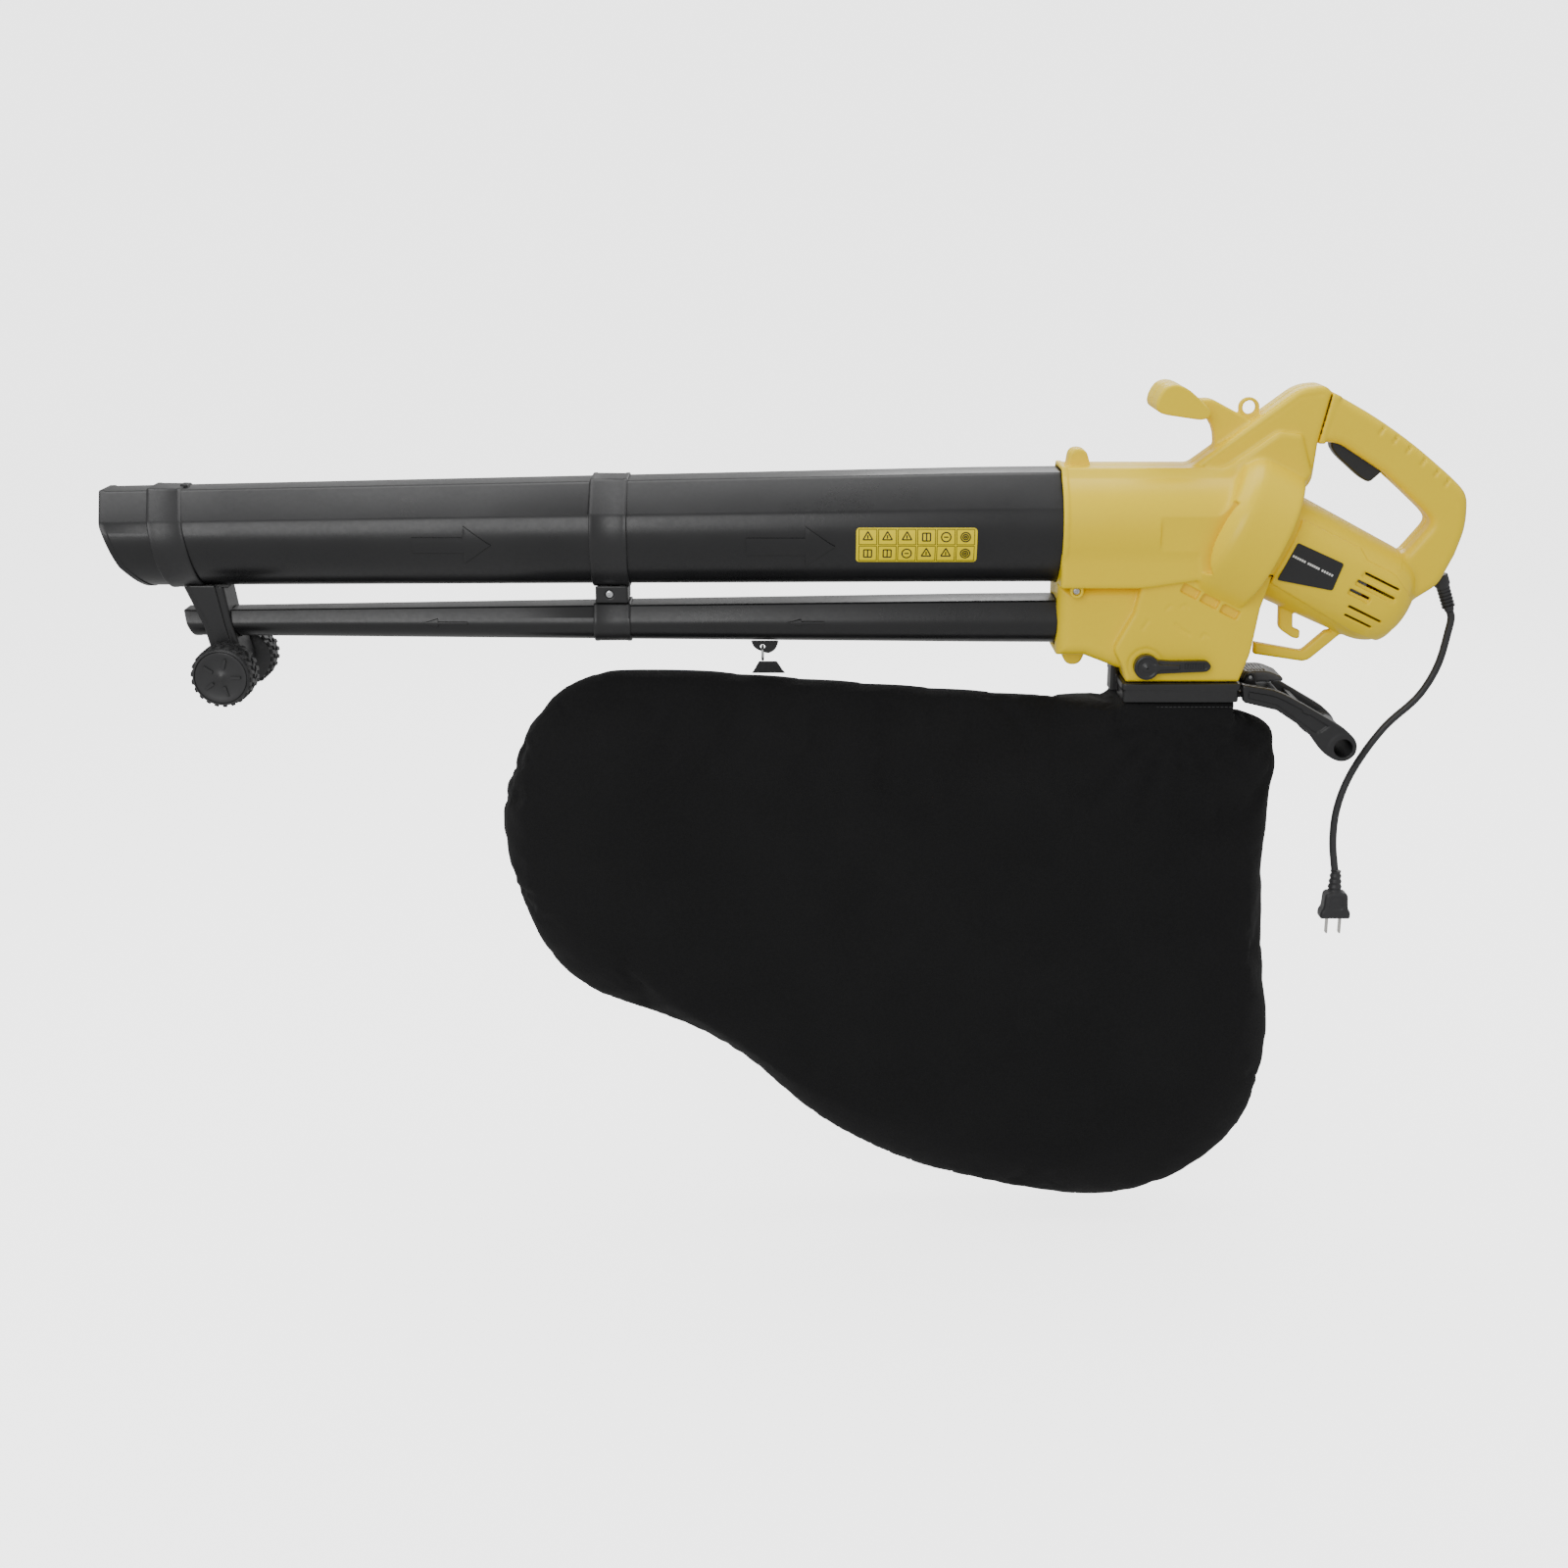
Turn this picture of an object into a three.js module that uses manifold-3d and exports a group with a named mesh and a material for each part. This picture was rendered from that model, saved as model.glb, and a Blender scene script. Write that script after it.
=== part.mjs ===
// A corded three-in-one garden blower and vacuum: suction tube, blower tube, fan housing, two grips,
// transport wheels and a collecting bag. Millimetres, +Z up, origin at the centre of the rear grip,
// +X towards the grip's end, nozzles at -X, and Y = 0 is the plane where the housing halves meet.
import * as THREE from "three";
import { mergeVertices } from "three/addons/utils/BufferGeometryUtils.js";
import Module from "manifold-3d";

const wasm = await Module();
wasm.setup();

// ---------- Driving dimensions ----------
const GAP = 0.3; // between pieces that rest against each other
const RUNNING = 0.1; // radial clearance of a turning fit
const WALL = 3; // housing wall
const TUBE_WALL = 2.2;

const TUBE_RIGHT = -264; // tube end inside the housing's sleeve
const TUBE_JOINT = -711; // where upper and lower tubes meet
const SUCTION = { r: 52, flat: 22, ridge: 25, z: -50.1, x: -320, drop: 0.0129, shrink: 0.00017 };
const TUBE_SPACING = 14.9; // air gap between the two tubes at the housing
const BLOWER = { rx: 28, rz: 21.5, flat: 20, ridge: 19, x: -320, drop: 0.0028, shrink: 0.00052 };
BLOWER.z = SUCTION.z - SUCTION.r - TUBE_SPACING - BLOWER.rz;
const SUCTION_MOUTH = [[-1176, -14], [-1171, -45], [-1157, -82], [-1138, -108]];
const BLOWER_MOUTH = [[-1111, -120], [-1106, -140], [-1098, -162]];
const COLLAR_LENGTH = 34;
const COLLAR_WALL = 2.6;

const TILT = THREE.MathUtils.degToRad(26); // fan axis below the horizontal
const FAN = { x: -124.7, z: -55.2 }; // a point on the fan axis, in the middle of the impeller
const DRUM = { r: 75, front: -38, back: 20, lift: -4 };
const VOLUTE = 12; // air gap round the impeller, inside the drum's wall
const IMPELLER = { r: DRUM.r - WALL - VOLUTE, hub: 16, depth: 30, blades: 8, blade: 2.6 };
const SHAFT_R = 4;
const MOTOR = { r: 50, flat: 46.5, front: 20.4, back: 152, dome: 164, taper: 4 };
const STATOR = { outer: 41, inner: 26, front: 58, back: 112 };
const ARMATURE_R = 25;
const BEARING = { r: 11, width: 7, front: 22, back: 143 };

const DUCT = { left: -301, right: -140 };
const BODY_HALF = 44; // outlet body, half its width
const SOCKET_HALF = 37; // round the blower tube
const SKIRT_HALF = 51.5; // below the inlet duct
const ARM_HALF = 19; // neck and rear grip, half their width
const CROSS_GRIP_HALF = 28;
const SELECTOR = { x: -220, z: -172.8, hub: 11.5, lever: 60, shaft: 4, flap: 62 };
const TRIGGER = { x: -47, z: 35, pin: 2, half: 8.4 };
const LATCH = { x: -118, z: -189, pin: 1.6, half: 19 };
const FRAME = { left: -241, right: -131, half: 48, top: -189.3, bottom: -207.6 };
const HANDLE = { half: 48, arm: 12, x: -33, z: -251, r: 12 };

// Cooling slots in the motor housing: [height above the fan axis, from, to].
const VENTS = [[14, 102, 142], [5, 100, 142], [-5, 98, 120], [-19, 104, 142], [-27.5, 106, 138]];
const GLAND = { x: 57.2, z: -97.2, turn: -0.35, r: 7.8 };
const DUCT_SCREW_Z = SUCTION.z - SUCTION.r - 1.9; // beside the suction tube's lowest line
// [x, z, face] of each screw's head; a negative face is on the near side.
const SCREWS = [[-285.6, DUCT_SCREW_Z, -BODY_HALF], [-285.6, DUCT_SCREW_Z, BODY_HALF], [-146, -176, BODY_HALF]];
const COLLAR_SCREW_Z = BLOWER.z + BLOWER.rz + 5.5;
const SCREW = { head: 3.4, deep: 2.4, shank: 1.7, length: 20 };

const WHEEL = { x: -1067, z: -181.5, r: 29, width: 31, inner: 27, axle: 4 };
const CAP = { r: 24, depth: 3 };

const CORD_R = 3.5;
const CORD = [[69.7, -131.5], [71.4, -137], [69.6, -152], [62.6, -184.2], [47.5, -212.7], [19.3, -241.4],
  [-0.7, -270.4], [-14.8, -299.6], [-22, -329], [-22.6, -358.7], [-18.8, -386]];
const PLUG = { x: -16.5, top: -386.8, neck: -414, body: -434.5, spacing: 12.7, blade: 16 };
const BAG = { half: 42, wall: 1.6, neck: 44 };

// ---------- Solids ----------
function solid(geometry) {
  const bare = geometry.clone();
  bare.deleteAttribute("normal");
  bare.deleteAttribute("uv");
  const merged = mergeVertices(bare, 1e-4);
  const mesh = new wasm.Mesh({
    numProp: 3,
    vertProperties: merged.attributes.position.array,
    triVerts: new Uint32Array(merged.index.array),
  });
  return new wasm.Manifold(mesh);
}

function geometryOf(made) {
  const mesh = made.getMesh();
  const geometry = new THREE.BufferGeometry();
  geometry.setAttribute("position", new THREE.BufferAttribute(mesh.vertProperties, 3));
  geometry.setIndex(new THREE.BufferAttribute(mesh.triVerts, 1));
  geometry.computeVertexNormals();
  return geometry;
}

const join = (...solids) => solids.reduce((sum, next) => sum.add(next));
const cut = (body, ...tools) => tools.reduce((rest, tool) => rest.subtract(tool), body);

// An outline through [x, y, radius] corners; a corner with a radius is rounded off.
function outline(points) {
  const shape = new THREE.Shape();
  const at = points.map(([x, y]) => new THREE.Vector2(x, y));
  points.forEach(([, , radius = 0], i) => {
    const here = at[i];
    const before = at[(i + at.length - 1) % at.length];
    const after = at[(i + 1) % at.length];
    const towards = (to) => {
      const reach = Math.min(radius, here.distanceTo(to) / 2.4);
      return here.clone().add(to.clone().sub(here).setLength(reach));
    };
    const enter = radius ? towards(before) : here;
    const leave = radius ? towards(after) : here;
    if (i) shape.lineTo(enter.x, enter.y);
    else shape.moveTo(enter.x, enter.y);
    if (radius) shape.quadraticCurveTo(here.x, here.y, leave.x, leave.y);
  });
  return shape;
}

// A shape drawn in X and Z, as thick as the span from y0 to y1.
function slab(shape, y0, y1, bevel = 0, curveSegments = 3) {
  const geometry = new THREE.ExtrudeGeometry(shape, {
    depth: y1 - y0 - 2 * bevel, curveSegments, bevelEnabled: bevel > 0,
    bevelThickness: bevel, bevelSize: bevel, bevelOffset: -bevel, bevelSegments: 1,
  });
  geometry.rotateX(Math.PI / 2).translate(0, y1 - bevel, 0);
  return geometry;
}

// A shape drawn in Y and Z, run along X from x0 to x1.
function bar(shape, x0, x1) {
  const geometry = new THREE.ExtrudeGeometry(shape, {
    depth: x1 - x0, bevelEnabled: false, curveSegments: 9,
  });
  const along = new THREE.Matrix4().makeBasis(
    new THREE.Vector3(0, 1, 0), new THREE.Vector3(0, 0, 1), new THREE.Vector3(1, 0, 0));
  return geometry.applyMatrix4(along).translate(x0, 0, 0);
}

function box(x0, x1, y0, y1, z0, z1) {
  const geometry = new THREE.BoxGeometry(x1 - x0, y1 - y0, z1 - z0);
  return geometry.translate((x0 + x1) / 2, (y0 + y1) / 2, (z0 + z1) / 2);
}

// A cylinder, or a cone, lying along Y.
function roundY(x, z, r, y0, y1, segments = 20, rEnd = r) {
  const geometry = new THREE.CylinderGeometry(rEnd, r, y1 - y0, segments);
  return geometry.translate(x, (y0 + y1) / 2, 0).translate(0, 0, z);
}

// A body turned about the fan axis, from [distance along it, radius] points.
function turned(points, segments = 20) {
  const profile = points.map(([along, r]) => new THREE.Vector2(r, along));
  return new THREE.LatheGeometry(profile, segments).rotateZ(-Math.PI / 2);
}

const FAN_PLACE = new THREE.Matrix4()
  .makeTranslation(FAN.x, 0, FAN.z)
  .multiply(new THREE.Matrix4().makeRotationY(TILT));
const onFanAxis = (geometry) => geometry.applyMatrix4(FAN_PLACE);
const rod = (from, to, r, segments = 20) => turned([[from, 0], [from, r], [to, r], [to, 0]], segments);
const ring = (from, to, inner, outer, segments = 20) =>
  turned([[from, inner], [from, outer], [to, outer], [to, inner], [from, inner]], segments);

// ---------- Tube sections ----------
function suctionSection(grow = 0) {
  const r = SUCTION.r + grow;
  const ridge = THREE.MathUtils.degToRad(SUCTION.ridge);
  const shape = new THREE.Shape();
  shape.moveTo(SUCTION.flat, r);
  shape.lineTo(-SUCTION.flat, r);
  shape.absarc(0, 0, r, Math.PI - ridge, 2 * Math.PI + ridge, false);
  return shape;
}

function blowerSection(grow = 0) {
  const ridge = THREE.MathUtils.degToRad(BLOWER.ridge);
  const shape = new THREE.Shape();
  shape.moveTo(BLOWER.flat + grow / 3, BLOWER.rz + grow);
  shape.lineTo(-BLOWER.flat - grow / 3, BLOWER.rz + grow);
  shape.absellipse(0, 0, BLOWER.rx + grow, BLOWER.rz + grow, Math.PI - ridge, 2 * Math.PI + ridge, false);
  return shape;
}

// Runs a tube section along X; the tubes narrow and sink evenly towards their mouths.
function tubeBar(tube, section, x0, x1) {
  const geometry = bar(section, x0, x1);
  const at = geometry.attributes.position;
  for (let i = 0; i < at.count; i++) {
    const out = Math.max(0, tube.x - at.getX(i));
    const scale = 1 - tube.shrink * out;
    at.setXYZ(i, at.getX(i), at.getY(i) * scale, tube.z - tube.drop * out + at.getZ(i) * scale);
  }
  return solid(geometry);
}

const suctionBar = (grow, x0, x1) => tubeBar(SUCTION, suctionSection(grow), x0, x1);
const blowerBar = (grow, x0, x1) => tubeBar(BLOWER, blowerSection(grow), x0, x1);

// The half of space to the right of a mouth's cut, as a thick slab.
function rightOf(line) {
  const [top, bottom] = [line[0], line[line.length - 1]];
  return solid(slab(outline([[top[0], 60], ...line, [bottom[0], -260], [0, -260], [0, 60]]), -90, 90));
}

// ---------- Housings ----------
// Hollow of the lower body: the airway under the fan, its way left to the blower tube, and the
// chute down to the bag.
function airways() {
  const outlet = outline([[-234, -192], [-139, -192], [-128, -158], [-122, -122], [-150, -96],
    [-222, -104], [-230, -122]]);
  return join(
    solid(slab(outlet, -BODY_HALF + WALL, BODY_HALF - WALL)),
    blowerBar(GAP, DUCT.left - 1, -225),
    cut(suctionBar(GAP, DUCT.left - 1, DUCT.right - 10), drum(0)),
    solid(bar(new THREE.Shape().absarc(0, 0, 34, 0, 2 * Math.PI).closePath(), -198, -140))
      .translate([0, 0, -44]),
    solid(onFanAxis(rod(DRUM.front + WALL, DRUM.back - WALL, DRUM.r - WALL, 32).translate(0, 0, DRUM.lift))));
}

function outletBody() {
  const shape = outline([[-226, -97], [-232, -124], [-250, -158], [-240, -176, 4], [-237, -189],
    [-133, -189], [-123.5, -162, 3], [-117, -120], [-112, -96]]);
  const foot = BLOWER.z - BLOWER.rz - 6.5;
  const socket = outline([[DUCT.left, -100.8], [DUCT.left, foot], [-275, foot], [-240, -178, 4],
    [-222, -120], [-226, -100.8]]);
  const skirt = outline([[DUCT.left, -50], [DUCT.left, -100.5], [-226, -100.5, 6], [-168, -92], [-140, -60]]);
  const tab = outline([[-295, foot + 11.5], [-289, foot - 14, 6], [-275, foot - 14, 6], [-267, foot + 11.5]]);
  return join(solid(slab(shape, -BODY_HALF, BODY_HALF, 3)), solid(slab(socket, -SOCKET_HALF, SOCKET_HALF, 3)),
    solid(slab(skirt, -SKIRT_HALF, SKIRT_HALF, 3)), solid(slab(tab, -10, 10)),
    solid(roundY(SCREWS[0][0], SCREWS[0][1], SCREW.head + WALL, -BODY_HALF, BODY_HALF, 24)));
}

// The neck rises from the duct, over the fan, to the joint with the rear grip.
function neck() {
  const arm = outline([[-192, 0], [-86, 76, 8], [-66, 78, 6], [-58.6, 72.5], [-68.6, 27], [-72, -8, 6],
    [-100, -40], [-180, -30]]);
  const eye = cut(join(solid(roundY(-130, 57, 9.5, -2.5, 2.5)), solid(box(-141, -119, -2.5, 2.5, 40, 53))),
    solid(roundY(-130, 57.5, 6, -5, 5)));
  const hollow = outline([[-172, 2], [-90, 70, 6], [-70, 71, 4], [-50, 63], [-64, 29], [-76, -6], [-160, -6]]);
  const shell = cut(solid(slab(arm, -ARM_HALF, ARM_HALF, 4)),
    cut(solid(slab(hollow, -ARM_HALF + WALL, ARM_HALF - WALL)), drum(0)));
  const barrelRoom = solid(onFanAxis(rod(DRUM.back + GAP / 3, DRUM.back + 60, MOTOR.r + GAP, 40)));
  return cut(join(shell, eye), barrelRoom);
}

const drum = (grow) =>
  solid(onFanAxis(rod(DRUM.front, DRUM.back + grow, DRUM.r + grow, 32).translate(0, 0, DRUM.lift)));

// The front grip is a short cross bar of teardrop section on a web.
function frontGrip() {
  const drop = outline([[-222, 55, 9], [-213, 79, 14], [-196, 80, 12], [-167, 54, 6], [-173, 48, 6]]);
  const web = outline([[-186, 66], [-166, 66], [-120, 42], [-130, 20], [-160, 20], [-163, 40, 10]]);
  return join(solid(slab(drop, -CROSS_GRIP_HALF, CROSS_GRIP_HALF, 1.5)), solid(slab(web, -8, 8)));
}

function frontShell() {
  const outside = join(
    suctionBar(GAP + WALL, DUCT.left, DUCT.right),
    solid(slab(outline([[-296, -8], [-291, 20, 6], [-277, 20, 6], [-270, -8]]), -10, 10)),
    drum(0), outletBody(), neck(), frontGrip());
  const bearingSeat = onFanAxis(rod(DRUM.back - 12, DRUM.back + 12, BEARING.r + GAP, 24));
  const shaftHole = roundY(SELECTOR.x, SELECTOR.z, SELECTOR.shaft + RUNNING, -60, BODY_HALF - 1.2, 24);
  return cut(outside, airways(), solid(bearingSeat), solid(shaftHole), ...SCREWS.map(screwHole));
}

// The rear grip: a closed loop with the motor housing, hollow for the switch.
function rearGrip() {
  const outer = outline([[-58, 72.4], [-17, 50, 20], [20, 25, 20], [58, -6, 12], [72, -20, 10], [73, -50, 12],
    [65, -76], [52, -104, 8], [20, -125], [0, -95], [22, -71, 6], [42, -46, 8], [35, -37, 6], [15, -19],
    [-7, 0], [-50, 27, 8], [-68, 27]]);
  const inner = outline([[-80, 61], [-56, 61], [-18, 43.5, 12], [18, 19, 12], [55, -12, 8], [66, -24, 6],
    [67, -50, 6], [59, -76], [46, -98], [18, -96], [28, -70], [48, -44, 4], [39, -32], [17, -14], [-5, 4],
    [-48, 31], [-80, 31]]);
  const slot = box(-57, 3, -TRIGGER.half - GAP, TRIGGER.half + GAP, -12, 34);
  return cut(solid(slab(outer, -ARM_HALF, ARM_HALF, 5)),
    solid(slab(inner, -ARM_HALF + WALL, ARM_HALF - WALL)), solid(slot));
}

// The line of the room round the motor, as far as the rear bearing's wall.
const motorRoom = () => [[MOTOR.front - 1, 0], [MOTOR.front - 1, MOTOR.r - WALL],
  [MOTOR.back - 14, MOTOR.r - MOTOR.taper - WALL], [MOTOR.back - 6, 30]];

// The motor housing, with cooling slots in its flat sides and a domed end.
function motorShell() {
  const { r, flat, front, back, dome, taper } = MOTOR;
  const outside = turned([[front, 0], [front, r], [back - 14, r - taper], [back, r - taper - 6], [dome, 26],
    [dome, 0]], 32);
  const inside = turned([...motorRoom(), [back - 6, BEARING.r + GAP], [back, BEARING.r + GAP], [back, 0]], 32);
  const flats = box(0, 200, -flat, flat, -90, 90);
  const hollow = solid(inside).intersect(solid(box(0, 200, WALL - flat, flat - WALL, -90, 90)));
  const body = solid(outside).intersect(solid(flats));
  const slots = [];
  for (const [lift, from, to] of VENTS)
    for (const side of [-1, 1])
      slots.push(solid(box(from, to, side * flat - 6, side * flat + 6, lift - 2, lift + 2)));
  const shell = cut(body, hollow, ...slots);
  return shell.transform(FAN_PLACE.toArray());
}

// A loop of bar under the motor keeps the cord and the bag's latch off the ground.
function guardLoop() {
  const loop = outline([[-110, -161], [-67, -168.5, 3], [-46, -150], [-30, -150], [-62, -178.5, 5],
    [-110, -171]]);
  const hook = outline([[-90, -125], [-90, -147, 3], [-76, -156, 3], [-70, -156, 2], [-70, -149], [-77, -147],
    [-78, -130.5]]);
  return join(solid(slab(loop, -5, 5)), solid(slab(hook, -5, 5)));
}

function rearShell() {
  const shell = join(cut(rearGrip(), motorBore()), motorShell(), guardLoop());
  const pin = roundY(TRIGGER.x, TRIGGER.z, TRIGGER.pin + GAP, -ARM_HALF + 1.5, ARM_HALF - 1.5, 16);
  const bosses = [-1, 1].map((side) =>
    solid(roundY(TRIGGER.x, TRIGGER.z, 5, side > 0 ? 9.5 : -17, side > 0 ? 17 : -9.5, 16)));
  const gland = solid(box(-11, 11, -11, 11, -16, 4).rotateY(GLAND.turn).translate(GLAND.x, 0, GLAND.z));
  return cut(join(shell, ...bosses), solid(pin), gland.intersect(glandHole()), frontClearance(),
    solid(onFanAxis(rod(MOTOR.back - 7, MOTOR.back, BEARING.r + GAP, 20))));
}
const glandHole = () =>
  solid(new THREE.CylinderGeometry(GLAND.r, GLAND.r, 40, 20).rotateX(Math.PI / 2).rotateY(GLAND.turn)
    .translate(GLAND.x, 0, GLAND.z));
const motorBore = () => solid(onFanAxis(turned([...motorRoom(), [MOTOR.back - 6, 0]], 32)));
// The fan drum and outlet body, grown a little, so that the guard loop only meets them.
const frontClearance = () => join(drum(GAP),
  solid(slab(outline([[-150, -200], [-132.4, -189], [-122.9, -162], [-116.4, -120], [-111, -95], [-150, -95]]),
    -60, 60)));

// ---------- Screws ----------
function screwHole([x, z, face]) {
  const side = Math.sign(face);
  const span = (depth, reach) => [face - side * depth, face + side * reach].sort((a, b) => a - b);
  return join(solid(roundY(x, z, SCREW.head + GAP, ...span(SCREW.deep, 3), 16)),
    solid(roundY(x, z, SCREW.shank + GAP, ...span(SCREW.length + 1, 0), 12)));
}

function screw([x, z, face]) {
  const side = Math.sign(face);
  const span = (a, b) => [face - side * a, face - side * b].sort((p, q) => p - q);
  return join(solid(roundY(x, z, SCREW.head, ...span(SCREW.deep - GAP, 0.2), 16)),
    solid(roundY(x, z, SCREW.shank, ...span(SCREW.length, 1), 12)));
}

// ---------- Halves ----------
const halfSpace = (side) => solid(side < 0 ? box(-400, 120, -120, -GAP / 2, -300, 150)
  : box(-400, 120, GAP / 2, 120, -300, 150));

// ---------- The scene graph ----------
const blower = new THREE.Group();
const YELLOW = { color: 0xf2cf1f, roughness: 0.38, metalness: 0 };
const BLACK = { color: 0x1d1d1f, roughness: 0.42, metalness: 0 };
const STEEL = { color: 0xb9bcc0, roughness: 0.3, metalness: 1 };

function add(name, shape, look, parent = blower) {
  const geometry = shape.isBufferGeometry ? shape : geometryOf(shape);
  const mesh = new THREE.Mesh(geometry, new THREE.MeshStandardMaterial(look));
  mesh.name = name;
  parent.add(mesh);
  return mesh;
}

function addHousings() {
  const front = frontShell();
  const rear = rearShell();
  for (const [side, word] of [[-1, "near"], [1, "far"]]) {
    add("front_housing_" + word, front.intersect(halfSpace(side)), YELLOW);
    add("rear_housing_" + word, rear.intersect(halfSpace(side)), YELLOW);
  }
  const plate = outline([[34, 13], [81, 14.5], [84, -11.5], [34, -25]]);
  const y = -MOTOR.flat - GAP;
  add("name_plate", slab(plate, y - 1.2, y).applyMatrix4(FAN_PLACE), { ...BLACK, roughness: 0.5 });
  SCREWS.forEach((at, i) => add("housing_screw_" + (i + 1), screw(at), STEEL));
}

function suctionTube(x0, x1) {
  return cut(suctionBar(0, x0, x1), suctionBar(-TUBE_WALL, x0 - 1, x1 + 1));
}

function blowerTube(x0, x1) {
  return cut(blowerBar(0, x0, x1), blowerBar(-TUBE_WALL, x0 - 1, x1 + 1));
}

function addTubes() {
  add("suction_tube_upper", suctionTube(TUBE_JOINT + GAP, TUBE_RIGHT), BLACK);
  add("suction_tube_lower", suctionTube(-1180, TUBE_JOINT).intersect(rightOf(SUCTION_MOUTH)), BLACK);
  add("blower_tube_upper", blowerTube(TUBE_JOINT + GAP, TUBE_RIGHT), BLACK);
  add("blower_tube_lower", blowerTube(-1118, TUBE_JOINT).intersect(rightOf(BLOWER_MOUTH)), BLACK);
  const label = slab(outline([[-487, -44, 3], [-378, -44, 3], [-378, -77, 3], [-487, -77, 3]]), -60, -40);
  const skin = cut(suctionBar(GAP + 0.6, -500, -360), suctionBar(GAP, -501, -359));
  add("info_label", skin.intersect(solid(label)), { color: 0xe9c91c, roughness: 0.5, metalness: 0 });
}

// Collars join the tube lengths; a strut under the big one is screwed to the small one.
function addCollars() {
  const x0 = TUBE_JOINT - COLLAR_LENGTH / 2;
  const x1 = TUBE_JOINT + COLLAR_LENGTH / 2;
  const big = cut(suctionBar(GAP + COLLAR_WALL, x0, x1), suctionBar(GAP, x0 - 1, x1 + 1));
  const small = cut(blowerBar(GAP + COLLAR_WALL, x0, x1), blowerBar(GAP, x0 - 1, x1 + 1));
  const z = COLLAR_SCREW_Z;
  const lug = solid(box(TUBE_JOINT - 13, TUBE_JOINT + 13, -14, 14, z - 4.5, z + 7.5))
    .subtract(suctionBar(GAP, x0 - 1, x1 + 1));
  const strut = solid(box(TUBE_JOINT - 16, TUBE_JOINT + 16, -20, 20, z - 9.5, z - 4.5 - GAP))
    .add(solid(box(TUBE_JOINT - 16, TUBE_JOINT + 16, -20, -14 - GAP, z - 9.5, z + 5.5)))
    .subtract(suctionBar(GAP + COLLAR_WALL + GAP, x0 - 1, x1 + 1))
    .subtract(blowerBar(GAP, x0 - 1, x1 + 1));
  const hole = solid(roundY(TUBE_JOINT - 2, z, SCREW.shank + GAP, -30, -3, 12));
  add("suction_collar", cut(big.add(lug), hole), BLACK);
  add("blower_collar", cut(small.add(strut), hole), BLACK);
  const head = solid(roundY(TUBE_JOINT - 2, z, SCREW.head, -22.4, -20 - GAP, 16));
  add("collar_screw", head.add(solid(roundY(TUBE_JOINT - 2, z, SCREW.shank, -21, -4, 12))), STEEL);
}

// A slanted band round the suction tube carries a leg down to the wheels' axle.
function addWheels() {
  const band = cut(suctionBar(GAP + COLLAR_WALL, -1150, -1070), suctionBar(GAP, -1151, -1069))
    .intersect(solid(slab(outline([[-1134, 0], [-1103, 0], [-1083, -120], [-1115, -120]]), -70, 70)));
  const leg = outline([[-1112, -100], [-1071, -100], [-1063, -140], [-1054, -170], [-1054, -190, 8],
    [-1078, -192, 10], [-1080, -178], [-1088, -140]]);
  const strut = cut(solid(slab(leg, -21, 21)), suctionBar(GAP, -1151, -1040), blowerBar(GAP, -1151, -1040),
    solid(box(-1150, -1066, -16, 16, -175, -150)));
  const bore = solid(roundY(WHEEL.x, WHEEL.z, WHEEL.axle + GAP, -80, 80, 24));
  add("wheel_bracket", cut(band.add(strut), bore), BLACK);
  const reach = WHEEL.inner + WHEEL.width - CAP.depth;
  add("wheel_axle", roundY(WHEEL.x, WHEEL.z, WHEEL.axle, -reach, reach, 24), STEEL);
  for (const [side, word] of [[-1, "near"], [1, "far"]]) addWheel(side, word);
}

// A crowned wheel turned about the axle, and the disc that closes its outer face.
function addWheel(side, word) {
  const { r, width, axle } = WHEEL;
  const wheel = new THREE.Group();
  wheel.position.set(WHEEL.x, side * WHEEL.inner, WHEEL.z);
  wheel.rotation.z = side < 0 ? Math.PI : 0;
  blower.add(wheel);
  const bore = axle + RUNNING;
  const tyre = [[bore, 0], [r - 4, 0], [r - 1, 4], [r, 11], [r, width - 11], [r - 1, width - 4],
    [CAP.r + 1, width], [CAP.r + GAP, width], [CAP.r + GAP, width - CAP.depth], [bore, width - CAP.depth],
    [bore, 0]];
  const lathe = (points) => new THREE.LatheGeometry(points.map(([x, y]) => new THREE.Vector2(x, y)), 24);
  add("wheel_" + word, lathe(tyre), BLACK, wheel);
  const from = width - CAP.depth + GAP;
  add("hub_cap_" + word, lathe([[0, from], [CAP.r, from], [CAP.r, width], [CAP.r - 2, width + 1],
    [0, width + 1]]), BLACK, wheel);
}

// ---------- Fan and motor, on the tilted axis ----------
function impellerSolid() {
  const { r, hub, depth, blades, blade } = IMPELLER;
  const from = -depth / 2;
  const parts = [solid(ring(depth / 2 - 3, depth / 2, SHAFT_R, r)), solid(ring(from, depth / 2, SHAFT_R, hub))];
  for (let i = 0; i < blades; i++) {
    const vane = box(from, depth / 2, -blade / 2, blade / 2, hub - 2, r - 1);
    vane.rotateX((i * 2 * Math.PI) / blades);
    parts.push(solid(vane));
  }
  return join(...parts).subtract(solid(rod(from - 1, depth / 2 + 1, SHAFT_R + GAP, 24)));
}

function coolingFanSolid() {
  const parts = [solid(ring(34, 36, SHAFT_R + GAP, 36)), solid(ring(34, 46, SHAFT_R + GAP, 10))];
  for (let i = 0; i < 7; i++) parts.push(solid(box(35, 45, -1, 1, 9, 36).rotateX((i * 2 * Math.PI) / 7)));
  return join(...parts).subtract(solid(rod(30, 50, SHAFT_R + GAP, 24)));
}

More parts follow.
